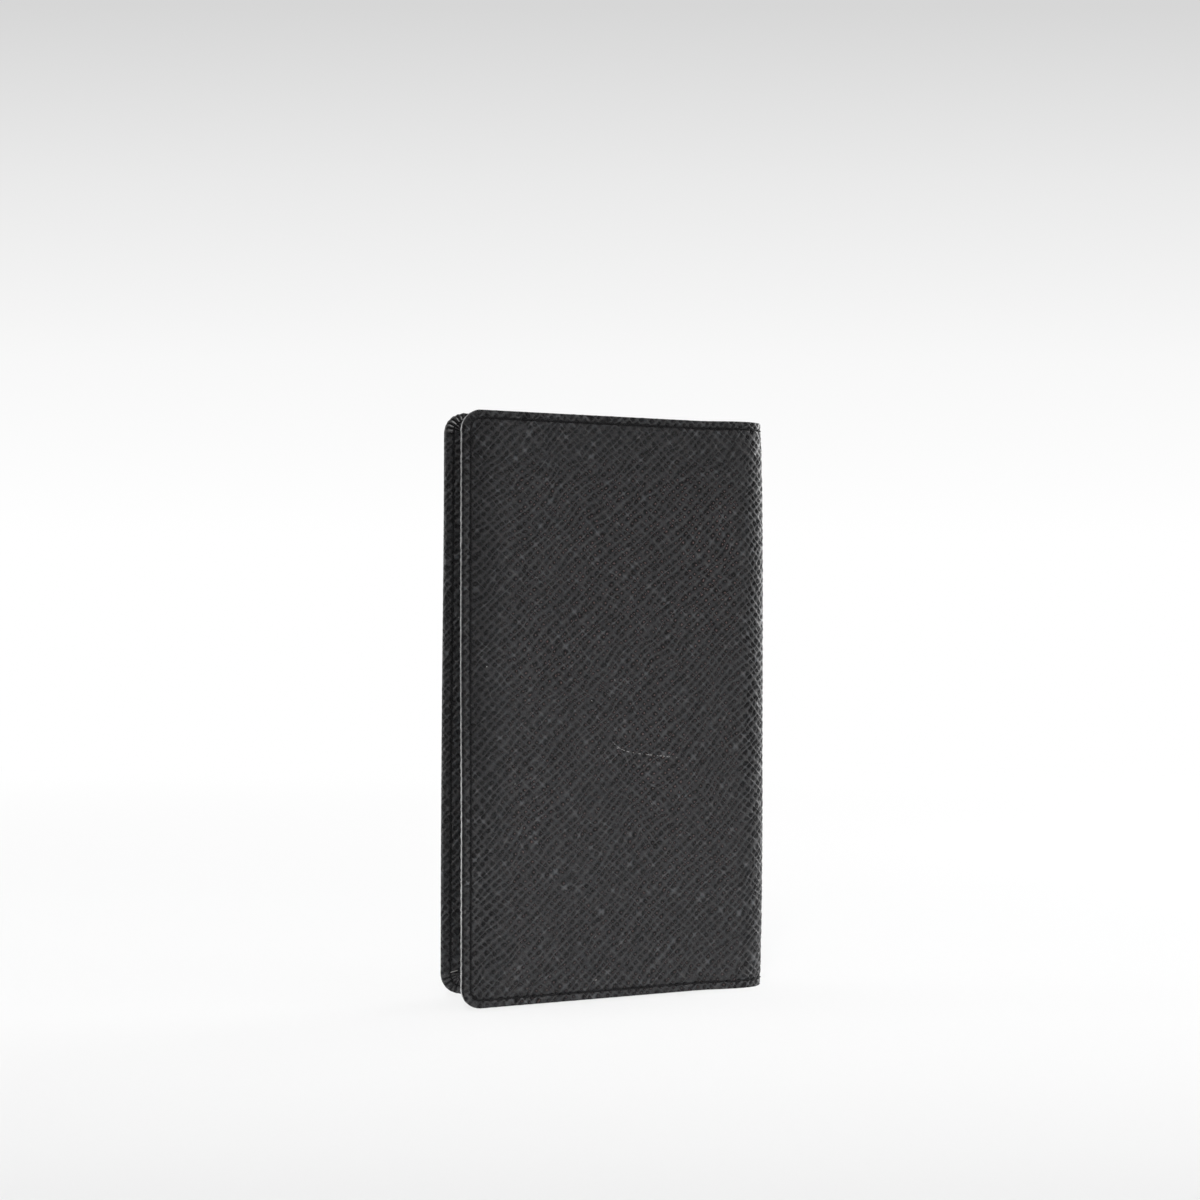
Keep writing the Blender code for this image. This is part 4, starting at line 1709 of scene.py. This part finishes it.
@dataclass
class TurnedHide:
    """Outer leather over both covers and the spine, folded in over its edges and gathered at its corners."""

    layouts: dict[Side, Layout]
    layers: Layers
    grain: CrossGrain
    tones: HideTones = HideTones()
    groove_depth: float = 0.24 * MM
    groove_half_width: float = 0.24 * MM
    pull_depth: float = 0.06 * MM
    pull_half_width: float = 0.80 * MM
    hem_edge: float = 0.6 * MM
    loose_inset: Ease = Ease(2.6 * MM, 4.6 * MM)
    loose_spine: float = 2.0 * MM
    head_lean_gap: float = 16 * MM
    head_lean_reach: float = 8 * MM
    head_lean_fore: Ease = Ease(58 * MM, 46 * MM)
    through_inset: Ease = Ease(0.0, 1.6 * MM, 1.0, 0.0)
    notch_start: Ease = Ease(0.0, 0.8 * MM)
    notch_end: Ease = Ease(0.6 * MM, 1.9 * MM, 1.0, 0.0)
    notch_growth: Ease = Ease(math.radians(20.0), math.radians(70.0), 0.35, 1.0)
    pleat_start: Ease = Ease(0.6 * MM, 1.5 * MM)
    pleat_end: Ease = Ease(2.6 * MM, 4.2 * MM, 1.0, 0.0)
    pleat_level: float = 0.35
    pleat_groove_loss: float = 0.9
    grain_groove_loss: float = 0.8
    head_pleats: Pleats = Pleats(
        height=0.75 * MM, notch=0.28 * MM, through=0.9, shine=0.8, first_shine=0.22,
        wear=0.4, count=5.3, phase=0.40, lean=-0.45, seed=3,
    )
    tail_pleats: Pleats = Pleats(
        height=0.40 * MM, notch=0.14 * MM, through=0.1, shine=0.0, first_shine=0.0,
        wear=1.6, count=5.0, phase=0.25, lean=0.0, seed=4,
    )
    front_shares: tuple = (("through", 0.0), ("height", 0.6), ("notch", 0.3), ("flank", 0.4))
    weld: float = 0.002 * MM
    sharp_above: float = 62.0

    def gather(self, points: HidePoints) -> dict[str, Array]:
        """Shape and sizes of the pleats at each point of the turned edge.

        Args:
            points: The hide's points.

        Returns:
            The wave, flank and crease from Pleats.wave(), and the height, notch, through and pale wear with
            highlight.
        """
        at_head = points.z > points.layout.height / 2
        ends = (self.head_pleats, self.tail_pleats)
        waves = [pleats.wave(points.heading, points.inset) for pleats in ends]
        named = zip(("wave", "flank", "crease"), zip(*waves))
        found = {name: np.where(at_head, *pair) for name, pair in named}
        for name in ("height", "notch", "through", "wear"):
            found[name] = np.where(at_head, *(getattr(pleats, name) for pleats in ends))
        found["notch"] = found["notch"] * self.notch_growth(points.heading)
        if points.front:
            for name, share in self.front_shares:
                found[name] = share * found[name]
        return found

    def sew(self, points: HidePoints) -> SewnEdge:
        """Find what seam, hem and pleats do to each point."""
        shown = points.outer | points.turn_in
        from_seam = edge_seam(points.layout, self.layers).distance(points.u, points.z)
        hem = (1 - smooth((points.inset - self.layers.seam_inset_ends) / self.hem_edge)) * shown
        fold = self.gather(points)
        gathered = points.at_corner & (points.turn_in | points.on_fold)
        near_edge = self.notch_start(points.way) * self.notch_end(points.inset)
        grown = self.pleat_start(points.way) * self.pleat_end(points.inset)
        return SewnEdge(
            groove=bell(from_seam, 0.0, self.groove_half_width) * shown,
            pulled=bell(from_seam, 0.0, self.pull_half_width) * shown,
            hem=np.clip(hem + points.on_fold, 0.0, 1.0),
            pleated=np.where(gathered, grown, 0.0),
            notched=np.where(gathered, np.maximum(near_edge, fold["through"]), 0.0),
            through=np.where(points.at_corner & points.outer, self.through_inset(points.inset), 0.0),
            fold=fold,
        )

    def shape(self, blank: Piece, net: HideNet, layout: Layout) -> Piece:
        """Fold a copy of the blank into one half of the hide.

        Args:
            blank: The net of faces from net.blank().
            net: The hide's net.
            layout: The side to make.

        Returns:
            The finished half, in the frame.
        """
        piece = copy_of(blank)
        rename(piece, f"{layout.side.label}_hide")
        points = net.spread(piece, layout)
        sewn = self.sew(points)
        calm = self.tones.calm(points, sewn)
        shade_share = self.tones.beside_edge(points, sewn)

        handed = 1.0 if points.front else -1.0
        cell_u, cell_z = net.cell_size(layout)
        cu = handed * (points.lattice_u - layout.middle_u) / cell_u
        cv = (points.lattice_z - layout.corner_radius) / cell_z
        loose = np.where(points.outer, self.loose_inset(points.inset), 0.0)
        loose = loose * smooth((points.u - layout.middle_u) / self.loose_spine)
        shift_u, shift_v = self.grain.shift(cu, cv)
        cu, cv = cu - (1 - loose) * shift_u, cv - (1 - loose) * shift_v
        head = smooth((points.z - layout.height + self.head_lean_gap) / self.head_lean_reach)
        relief = self.grain.relief(cu, cv, head * self.head_lean_fore(points.u))

        sunk = (1 - relief) * self.grain.pit_depth * (1 - calm) * (1 - self.grain_groove_loss * sewn.groove)
        sunk = np.where(points.outer | points.turn_in | points.on_fold, sunk, 0.0)
        sunk = sunk + sewn.groove * self.groove_depth + sewn.pulled * self.pull_depth
        self.press(points, sewn, sunk)
        points.u = points.u + handed * shift_u * cell_u * loose
        points.z = points.z + shift_v * cell_z * loose
        write_points(piece.data, layout.place(points.u, points.z, points.depth))

        values = {"relief": relief, "calm": calm, **self.tones.values(points, sewn, net, shade_share)}
        for name, numbers in values.items():
            store_values(piece.data, name, numbers)
        store_lattice(piece.data, cu, cv)
        self.close(piece, points.ring == points.ring.max())
        return piece

    def press(self, points: HidePoints, sewn: SewnEdge, sunk: Array) -> None:
        """Move the points by the grain and the seam, and gather the corners in pleats.

        Args:
            points: The hide's points, which are moved.
            sewn: Seam, hem and pleats at each point.
            sunk: How far grain and seam sink below the leather's face.
        """
        fold = sewn.fold
        pleat = sewn.pleated * fold["height"] * (fold["wave"] - self.pleat_level)
        points.depth = points.depth + np.where(points.outer, sunk, -sunk * points.turn_in)
        points.depth = points.depth + pleat * (1 - self.pleat_groove_loss * sewn.groove)
        notched = np.maximum(sewn.notched, fold["through"] * sewn.through)
        drawn = fold["notch"] * (1 - fold["wave"]) * notched + sunk * points.on_fold
        points.u = points.u - drawn * np.cos(points.heading)
        points.z = points.z - drawn * np.sin(points.heading) * points.upward

    def close(self, piece: Piece, last_ring: Array) -> None:
        """Join the flesh side at its middle, fill the cut at the spine and turn the faces outwards."""
        pick(piece, last_ring)
        with editing(piece):
            bpy.ops.mesh.remove_doubles(threshold=self.weld)
            bpy.ops.mesh.select_all(action="DESELECT")
            bpy.ops.mesh.select_non_manifold(
                extend=False, use_wire=False, use_boundary=True,
                use_multi_face=False, use_non_contiguous=False, use_verts=False,
            )
            bpy.ops.mesh.fill(use_beauty=False)
        turn_outwards(piece)
        shade(piece, self.sharp_above)

    def build(self, finishes: Finishes) -> list[Piece]:
        """Make both halves of the hide."""
        net = HideNet(self.layouts[Side.FRONT], self.layers, self.grain)
        blank = net.blank()
        halves = []
        for side, layout in self.layouts.items():
            piece = self.shape(blank, net, layout)
            dress(piece, finishes.leather)
            layout.bend_over_fold(piece)
            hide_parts(f"{side.label}_cover_leather", "spine_leather")
            halves.append(piece)
        bpy.data.objects.remove(blank)
        return halves


@dataclass
class Stitching:
    """Rows of single stitches, all copied from one. Shoulder and tip are each a length, size and dip."""

    thread: Material
    pitch: float = 2.4 * MM
    thread_radius: float = 0.21 * MM
    sides: int = 8
    body_length: float = 1.15 * MM
    shoulder: tuple[float, float, float] = (0.34 * MM, 0.82, 0.04 * MM)
    tip: tuple[float, float, float] = (0.24 * MM, 0.45, 0.16 * MM)
    slack: float = 0.01 * MM
    slant: float = math.radians(5.0)
    slant_spread: float = 0.05
    stretch: tuple[float, float] = (0.96, 1.02)
    wander: float = 0.03 * MM
    wander_up: float = 0.02 * MM
    sink: float = 0.17 * MM
    sharp_above: float = 50.0
    seed: int = 11

    def __post_init__(self) -> None:
        """Model the stitch that all rows are copied from."""
        self.master = self.stitch()

    def stitch(self) -> Piece:
        """Model one stitch along X, with shoulders that dip into its holes."""
        clear_selection()
        size = {"vertices": self.sides, "radius": self.thread_radius, "depth": self.body_length}
        bpy.ops.mesh.primitive_cylinder_add(rotation=(0.0, math.pi / 2, 0.0), **size)
        piece = bpy.context.object
        rename(piece, "stitch_master")
        bpy.ops.object.transform_apply(location=True, rotation=True, scale=True)
        for end in (1.0, -1.0):
            reach = self.body_length / 2
            for step, size, dip in (self.shoulder, self.tip):
                pick(piece, end * read_points(piece.data)[:, 0] > reach - self.slack)
                reach += step
                move, centre = (end * step, 0.0, -dip), (end * reach, 0.0, -dip)
                with editing(piece, "FACE"):
                    bpy.ops.mesh.extrude_region_move(TRANSFORM_OT_translate={"value": move})
                    bpy.ops.transform.resize(value=(1.0, size, size), center_override=centre)
        return piece

    def put_away(self) -> None:
        """Remove the master stitch, once every seam is sewn."""
        bpy.data.objects.remove(self.master)

    def row(self, name: str, line: SeamLine) -> Piece:
        """Copy the stitch along a straight row as long as the seam, on the bench."""
        chance = random.Random(self.seed)
        count = round(line.length / self.pitch)
        step = line.length / count
        copies = []
        for index in range(count):
            copy = copy_of(self.master)
            slant = self.slant + chance.uniform(-self.slant_spread, self.slant_spread)
            stretch = step / self.pitch * chance.uniform(*self.stretch)
            off = chance.uniform(-self.wander, self.wander)
            raised = chance.uniform(-self.wander_up, self.wander_up)
            turned = Matrix.Rotation(slant, 4, "Z") @ Matrix.Diagonal((stretch, 1.0, 1.0, 1.0))
            copy.data.transform(Matrix.Translation(((index + 0.5) * step, off, raised)) @ turned)
            copies.append(copy)
        activate(*copies)
        bpy.ops.object.join()
        piece = bpy.context.object
        rename(piece, name)
        return piece

    def sew(self, name: str, line: SeamLine, layout: Layout, level: float, face: Face) -> Piece:
        """Sew a seam: a row of stitches laid along its way.

        Args:
            name: Name of the seam's piece.
            line: The seam's way.
            layout: The side that it lies on.
            level: Depth of the face that the seam shows on.
            face: Whether that face is an outer or an inner one.

        Returns:
            The seam, in the frame and dressed.
        """
        piece = self.row(name, line)
        way, inwards, raised = read_points(piece.data).T
        u, z = line.point(way, inwards)
        write_points(piece.data, layout.place(u, z, level + face.value * (raised - self.sink)))
        turn_outwards(piece)
        shade(piece, self.sharp_above)
        dress(piece, self.thread)
        return piece


@dataclass
class EdgeSeams:
    """Seams around the edge of both covers, on the outer and the inner face."""

    layouts: dict[Side, Layout]
    layers: Layers
    stitching: Stitching

    def build(self) -> list[Piece]:
        """Sew all four seams."""
        made = []
        for side, layout in self.layouts.items():
            line = edge_seam(layout, self.layers)
            for face, level in ((Face.OUTSIDE, 0.0), (Face.INSIDE, self.layers.edge)):
                piece = self.stitching.sew(f"{side.label}_stitches_{face.label}", line, layout, level, face)
                layout.bend_over_fold(piece)
                spine_seams = [f"spine_{end}_seam_{face.label}" for end in ("head", "tail")]
                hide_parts(f"{side.label}_seam_{face.label}", *spine_seams)
                made.append(piece)
        return made


@dataclass(frozen=True)
class InnerSheet:
    """A sheet inside the cover, whose edge lies in the turned edge and which climbs over the board."""

    layout: Layout
    layers: Layers
    edge_depth: float
    middle_depth: float
    thickness: float
    line_spacing: float

    def cut(self, name: str, start_u: float) -> tuple[Piece, Array, Array]:
        """Cut the sheet on the bench, from its start to the fore-edge.

        Args:
            name: Name of the piece.
            start_u: Where the sheet begins.

        Returns:
            A single flat layer, and its points' u and z once its fore-edge corners are rounded.
        """
        inset = self.layers.sheet_edge_inset
        end_u, high = self.layout.panel_width - inset, self.layout.height - inset
        columns = np.linspace(start_u, end_u, round((end_u - start_u) / self.line_spacing) + 1)
        rows = np.linspace(inset, high, round((high - inset) / self.line_spacing) + 1)
        piece = bench_grid(name, columns, rows)
        u, z, _ = read_points(piece.data).T
        return piece, *self.layout.core.round_corners(u, z)

    def inner_depth(self, u: Array, z: Array) -> Array:
        """Depth of the sheet's inner side by its distance from the turned edge."""
        inset = np.minimum(self.layout.panel_width - u, np.minimum(z, self.layout.height - z))
        climbed = Ease(self.layers.climb_start, self.layers.climb_end, self.edge_depth, self.middle_depth)
        return climbed(inset) + self.thickness


@dataclass
class Linings:
    """Lining cloth over both covers and the spine."""

    layouts: dict[Side, Layout]
    layers: Layers
    line_spacing: float = 1.1 * MM
    solid_share: float = 0.8
    twill_pitch: float = 0.55 * MM
    pucker: float = 0.10 * MM
    pucker_width: float = 5.0 * MM
    pucker_height: float = 9.0 * MM
    pucker_fore: Ease = Ease(20.0 * MM, 6.0 * MM)
    pucker_spine: float = 3.0 * MM
    first_seed: int = 31
    sharp_above: float = 60.0

    def lay(self, layout: Layout, seed: int, finishes: Finishes) -> Piece:
        """Make one half of the lining, laid without the leather's swell over the spine."""
        layers, side = self.layers, layout.side
        level = replace(layout, spine_swell=0.0, spine_bulge=0.0)
        depths = (layers.lining_edge, layers.lining_middle, layers.lining)
        sheet = InnerSheet(level, layers, *depths, self.line_spacing)
        piece, u, z = sheet.cut(f"{side.label}_lining_cloth", layout.middle_u)
        slack = self.pucker_fore(u) * smooth((u - layout.middle_u) / self.pucker_spine)
        puckers = self.pucker * slack * soft_noise(u / self.pucker_width, z / self.pucker_height, seed)
        set_depth(piece, u, z, sheet.inner_depth(u, z) + puckers)
        apply_modifier(piece, "SOLIDIFY", thickness=layers.lining * self.solid_share, offset=1.0)
        u, z, _ = read_points(piece.data).T
        store_lattice(piece.data, u / self.twill_pitch, z / self.twill_pitch)
        level.roll(piece)
        shade(piece, self.sharp_above)
        dress(piece, finishes.lining)
        level.bend_over_fold(piece)
        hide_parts(f"{side.label}_lining", "spine_lining")
        return piece

    def build(self, finishes: Finishes) -> list[Piece]:
        """Make both halves of the lining."""
        seeded = enumerate(self.layouts.values(), self.first_seed)
        return [self.lay(layout, seed, finishes) for seed, layout in seeded]


@dataclass(frozen=True)
class PocketLeather:
    """Makes a cut panel of the pockets' thin leather up into a solid piece."""

    layout: Layout
    thickness: float
    material: Material
    solid_share: float = 0.9
    bevel_angle: float = math.radians(50.0)
    bevel_segments: int = 2
    grain_pitch: float = 1.05 * MM
    sharp_above: float = 40.0

    def make_up(self, piece: Piece, bevel: float, crease_u: float, crease_reach: float) -> None:
        """Thicken a flat panel, round its edges, roll it into place and dress it.

        Args:
            piece: The panel, its inner side on the bench.
            bevel: Width of its rounded edges.
            crease_u: Place of the crease along its opening.
            crease_reach: How wide the shade painted in the crease reaches.
        """
        apply_modifier(piece, "SOLIDIFY", thickness=self.thickness * self.solid_share, offset=1.0)
        limits = {"limit_method": "ANGLE", "angle_limit": self.bevel_angle}
        apply_modifier(piece, "BEVEL", width=bevel, segments=self.bevel_segments, **limits)
        u, z, _ = read_points(piece.data).T
        store_lattice(piece.data, u / self.grain_pitch, z / self.grain_pitch)
        # Painted shade along the crease.
        store_values(piece.data, "cavity", bell(u, crease_u, crease_reach))
        self.layout.roll(piece)
        shade(piece, self.sharp_above)
        dress(piece, self.material)
        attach(piece, self.layout.side.body)


@dataclass
class PocketFlap:
    """Flap that holds the refill's cover, open towards the spine with a folded and creased edge."""

    layout: Layout
    layers: Layers
    opening_u: float
    line_spacing: float = 0.8 * MM
    crease_inset: float = 2.6 * MM
    crease_reach: float = 0.55 * MM
    crease_depth: float = 0.10 * MM
    crease_shade: float = 0.6 * MM
    fold_lift: float = 0.12 * MM
    fold_edge: Ease = Ease(5.0 * MM, 5.5 * MM, 1.0, 0.0)
    belly: float = 0.25 * MM
    belly_edge: float = 12.0 * MM
    belly_reach: Ease = Ease(26.0 * MM, 0.0)
    bevel: float = 0.09 * MM

    def build(self, finishes: Finishes) -> Piece:
        """Make the flap."""
        layers, layout = self.layers, self.layout
        depths = (layers.pocket_edge, layers.pocket_middle, layers.pocket)
        sheet = InnerSheet(layout, layers, *depths, self.line_spacing)
        piece, u, z = sheet.cut(f"{layout.side.label}_flap", self.opening_u)
        from_edge = u - self.opening_u
        inside = smooth((np.minimum(z, layout.height - z) - layers.climb_end) / self.belly_edge)
        raised = self.fold_lift * self.fold_edge(from_edge) + self.belly * self.belly_reach(from_edge)
        crease = self.crease_depth * bell(from_edge, self.crease_inset, self.crease_reach)
        set_depth(piece, u, z, sheet.inner_depth(u, z) + raised * inside - crease)
        leather = PocketLeather(layout, layers.pocket, finishes.pocket)
        leather.make_up(piece, self.bevel, self.opening_u + self.crease_inset, self.crease_shade)
        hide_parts(f"{layout.side.label}_pocket_flap")
        return piece


@dataclass
class CardPockets:
    """Two stepped card pockets on the front flap, with their seam."""

    layout: Layout
    layers: Layers
    stitching: Stitching
    rear_opening_u: float = 24.0 * MM
    step: float = 10.0 * MM
    height: float = 92.0 * MM
    seam_inset: float = 1.6 * MM
    corner: float = 1.6 * MM
    hem_step: float = 0.6 * MM
    crease_inset: float = 1.6 * MM
    crease_half_width: float = 0.22 * MM
    crease_depth: float = 0.07 * MM
    crease_shade: float = 0.3 * MM
    crown: float = 0.16 * MM
    crown_power: float = 0.6
    line_spacing: float = 0.9 * MM
    bevel: float = 0.08 * MM

    @property
    def low(self) -> float:
        """Height of the pockets' lower edge."""
        return (self.layout.height - self.height) / 2

    @property
    def end_u(self) -> float:
        """Place of the pockets' closed end."""
        return self.layout.panel_width - self.layers.card_inset

    def pocket(self, node: str, opening_u: float, depth: float, finishes: Finishes) -> Piece:
        """Make one pocket: a panel with rounded corners and a creased opening.

        Args:
            node: CAD node that the pocket stands for.
            opening_u: Place of the pocket's opening.
            depth: Depth of the pocket's outer side.
            finishes: The cover's materials.

        Returns:
            The pocket, in the frame.
        """
        low, high, end_u = self.low, self.layout.height - self.low, self.end_u
        crease = opening_u + self.crease_inset
        ribs = np.array([-1.0, 0.0, 1.0]) * self.crease_half_width + crease
        columns = np.linspace(crease + MM, end_u, round((end_u - crease) / self.line_spacing))
        columns = np.concatenate([[opening_u, opening_u + self.hem_step], ribs, columns])
        rows = np.linspace(low, high, round(self.height / self.line_spacing) + 1)
        piece = bench_grid(node.replace("card_pocket", "card_sleeve"), columns, rows)
        u, z, _ = read_points(piece.data).T
        core = Core(opening_u + self.corner, end_u - self.corner, low + self.corner, high - self.corner)
        u, z = core.round_corners(u, z)
        rise = np.clip((z - low) / self.height, 0.0, 1.0)
        crown = self.crown * np.sin(math.pi * rise) ** self.crown_power * Ease(opening_u, end_u, 1.0, 0.0)(u)
        groove = self.crease_depth * (np.abs(u - crease) < self.crease_half_width / 2)
        set_depth(piece, u, z, depth + self.layers.pocket + crown - groove)
        leather = PocketLeather(self.layout, self.layers.pocket, finishes.pocket)
        leather.make_up(piece, self.bevel, crease, self.crease_shade)
        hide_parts(node)
        return piece

    def seam(self, level: float) -> Piece:
        """Sew the pockets' three closed sides onto the face at this depth."""
        low, end_u = self.low + self.seam_inset, self.end_u - self.seam_inset
        line = SeamLine(self.rear_opening_u + self.step, end_u, low, self.layout.height - low, self.corner)
        piece = self.stitching.sew("card_sleeve_stitches", line, self.layout, level, Face.INSIDE)
        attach(piece, self.layout.side.body)
        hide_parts("card_pocket_seam")
        return piece

    def build(self, finishes: Finishes) -> list[Piece]:
        """Make both pockets and their seam."""
        ply = self.layers.pocket + self.layers.glue
        rear_depth = self.layers.pocket_middle + ply
        return [
            self.pocket("card_pocket_rear", self.rear_opening_u, rear_depth, finishes),
            self.pocket("card_pocket_front", self.rear_opening_u + self.step, rear_depth + ply, finishes),
            self.seam(rear_depth + 2 * ply),
        ]


@dataclass
class HiddenBoards:
    """Boards and spine strip between leather and lining, whose CAD shape is already right."""

    nodes: tuple[str, ...] = ("front_board", "back_board", "spine_reinforcement")

    def build(self, finishes: Finishes) -> list[Piece]:
        """Give the CAD nodes their fibre board finish."""
        shown = [frame["nodes"][name] for name in self.nodes]
        for node in shown:
            node.material_slots[0].material = finishes.board
        return shown


@dataclass(frozen=True)
class PaperTones:
    """Painted falloff of light on the studio's paper along a distance: grey levels, each with its share of
    the way.
    """

    start: float
    end: float
    stops: tuple[tuple[float, float], ...]

    def draw(self, bench: NodeBench, distance: Number) -> Socket:
        """Draw the tones along this distance, as a colour."""
        inputs = {"Value": distance, "From Min": self.start, "From Max": self.end}
        share = bench.node("ShaderNodeMapRange", inputs).outputs[0]
        ramp = bench.node("ShaderNodeValToRGB", {0: share})
        elements = ramp.color_ramp.elements
        while len(elements) < len(self.stops):
            elements.new(0.5)
        for element, (position, grey) in zip(elements, self.stops):
            element.position = position
            element.color = (grey, grey, grey, 1.0)
        return ramp.outputs[0]


@dataclass(frozen=True)
class Lamp:
    """A soft rectangular lamp, with the angle that its grid lets the light spread over."""

    name: str
    place: Place
    aim: Place
    size: tuple[float, float]
    power: float
    spread: float = math.pi

    def hang(self) -> None:
        """Hang the lamp, facing its aim and unseen by the camera."""
        data = bpy.data.lights.new(self.name, "AREA")
        data.shape = "RECTANGLE"
        data.size, data.size_y = self.size
        data.energy = self.power
        data.spread = self.spread
        lamp = bpy.data.objects.new(self.name, data)
        lamp.location = self.place
        lamp.visible_camera = False
        lamp.rotation_euler = (Vector(self.aim) - Vector(self.place)).to_track_quat("-Z", "Y").to_euler()
        bpy.context.scene.collection.objects.link(lamp)


@dataclass
class Studio:
    """Floor and backdrop in one sweep, soft lamps, and the camera at the photograph's angle."""

    camera_place: Place = (-201.0 * MM, -470.15 * MM, 88.34 * MM)
    camera_azimuth: float = math.radians(-22.93)
    camera_pitch: float = math.radians(0.866)
    camera_roll: float = math.radians(0.09)
    focal_share: float = 1.743
    sensor: float = 36.0
    clip: tuple[float, float] = (0.01, 50.0)
    half_width: float = 6.0
    wall_distance: float = 2.6
    wall_height: float = 5.0
    sweep_radius: float = 0.30
    sweep_steps: int = 12
    sharp_above: float = 40.0
    floor_tones: PaperTones = PaperTones(
        -0.20, 0.80, ((0.0, 0.745), (0.05, 0.808), (0.10, 0.848), (0.165, 0.887), (0.25, 0.907),
                      (0.375, 0.938), (0.57, 0.968), (0.93, 1.0)),
    )
    wall_tones: PaperTones = PaperTones(0.0, 1.1, ((0.21, 1.0), (0.45, 0.94), (0.69, 0.824), (0.93, 0.678)))
    paper: Colour = (0.85, 0.85, 0.85)
    shadow: Ease = Ease(0.25, 0.90, 0.14, 0.0)
    air: Colour = (1.0, 1.0, 1.0)
    air_light: float = 0.50
    air_seen: float = 0.92
    lamps: tuple[Lamp, ...] = (
        Lamp("key_softbox", (-0.55, -1.10, 0.60), (0.05, 0.0, -0.54), (0.9, 0.9), 2.36, math.radians(15.0)),
        Lamp("fill_softbox", (1.10, -0.80, 0.35), (0.0, 0.0, -0.40), (0.9, 0.7), 1.07, math.radians(15.0)),
        Lamp("left_edge_strip", (-1.00, 0.55, 0.25), (0.0, 0.0, 0.07), (0.5, 0.9), 8.0),
        Lamp("spine_strip", (1.05, 0.25, 0.30), (0.0, 0.0, 0.07), (0.5, 0.9), 14.0),
        Lamp("top_softbox", (0.0, 0.1, 1.3), (0.0, 0.0, 0.07), (1.0, 1.0), 6.0),
    )

    def sweep(self) -> None:
        """Lay the floor and raise the wall behind it, with a rounded join."""
        clear_selection()
        bpy.ops.mesh.primitive_plane_add(size=2.0)
        piece = bpy.context.object
        rename(piece, "studio_sweep")
        x, y, z = read_points(piece.data).T
        back = y > 0
        y = np.where(back, self.wall_distance, -self.half_width)
        write_points(piece.data, np.stack([x * self.half_width, y, z], axis=-1))
        pick(piece, back)
        with editing(piece, "EDGE"):
            bpy.ops.mesh.extrude_edges_move(TRANSFORM_OT_translate={"value": (0.0, 0.0, self.wall_height)})
        points = read_points(piece.data)
        pick(piece, (points[:, 1] > 0) & (points[:, 2] < self.wall_height / 2))
        with editing(piece, "EDGE"):
            bpy.ops.mesh.bevel(offset=self.sweep_radius, segments=self.sweep_steps, affect="EDGES")
        shade(piece, self.sharp_above)
        piece.rotation_euler = (0.0, 0.0, self.camera_azimuth)
        piece.data.materials.append(self.sweep_material())

    def sweep_material(self) -> Material:
        """White paper with a painted falloff of light, a little darker upwards and towards the viewer."""
        bench = NodeBench(bpy.data.materials.new("studio_paper"))
        place = bench.object_place()
        _, back, up = bench.parts(place)
        # Painted falloff of light on floor and wall.
        floor, wall = self.floor_tones.draw(bench, back), self.wall_tones.draw(bench, up)
        glow = bench.node("ShaderNodeEmission", {"Color": bench.mix(1.0, floor, wall, blend="MULTIPLY")})
        paper = bench.node("ShaderNodeBsdfDiffuse", {"Color": self.paper})
        far = bench.node("ShaderNodeVectorMath", {0: place}, operation="LENGTH").outputs["Value"]
        share = bench.seen_directly() * (1.0 - Number(bench, far).eased(self.shadow))
        inputs = {0: share, 1: paper.outputs[0], 2: glow.outputs[0]}
        return bench.show(bench.node("ShaderNodeMixShader", inputs))

    def world(self) -> None:
        """Light the room evenly, and paler where the camera or a gloss sees it directly."""
        world = bpy.data.worlds.new("studio_air")
        bpy.context.scene.world = world
        bench = NodeBench(world)
        strength = self.air_light + bench.seen_directly() * (self.air_seen - self.air_light)
        bench.show(bench.node("ShaderNodeBackground", {"Color": self.air, "Strength": strength}))

    def camera(self) -> None:
        """Set the camera up."""
        data = bpy.data.cameras.new("camera")
        data.sensor_width = self.sensor
        data.lens = self.focal_share * self.sensor
        data.clip_start, data.clip_end = self.clip
        camera = bpy.data.objects.new("camera", data)
        camera.location = self.camera_place
        azimuth = Matrix.Rotation(self.camera_azimuth, 3, "Z")
        pitch = Matrix.Rotation(math.pi / 2 + self.camera_pitch, 3, "X")
        camera.rotation_euler = (azimuth @ pitch @ Matrix.Rotation(self.camera_roll, 3, "Z")).to_euler()
        bpy.context.scene.collection.objects.link(camera)
        bpy.context.scene.camera = camera

    def build(self) -> None:
        """Set up the whole studio."""
        self.sweep()
        self.world()
        for lamp in self.lamps:
            lamp.hang()
        self.camera()
        bpy.context.scene.view_settings.view_transform = "Standard"


def report(pieces: list[Piece]) -> None:
    """Log each piece with its number of faces."""
    for piece in pieces:
        log.info("%s: %d faces", piece.name, len(piece.data.polygons))


def main() -> None:
    """Build the cover's looks, piece by piece."""
    logging.basicConfig(level=logging.INFO, format="%(name)s: %(message)s")
    layers, finishes = Layers(), Finishes()
    layouts = layouts_from_frame(CORNER_RADIUS, BackStance())
    front, back = layouts[Side.FRONT], layouts[Side.BACK]
    report(TurnedHide(layouts, layers, CrossGrain()).build(finishes))
    stitching = Stitching(finishes.thread)
    report(EdgeSeams(layouts, layers, stitching).build())
    report(Linings(layouts, layers).build(finishes))
    report([PocketFlap(front, layers, FRONT_FLAP_OPENING).build(finishes)])
    report([PocketFlap(back, layers, back.panel_width - BACK_FLAP_WIDTH).build(finishes)])
    report(CardPockets(front, layers, stitching).build(finishes))
    report(HiddenBoards().build(finishes))
    stitching.put_away()
    Studio().build()


if __name__ == "__main__":
    main()
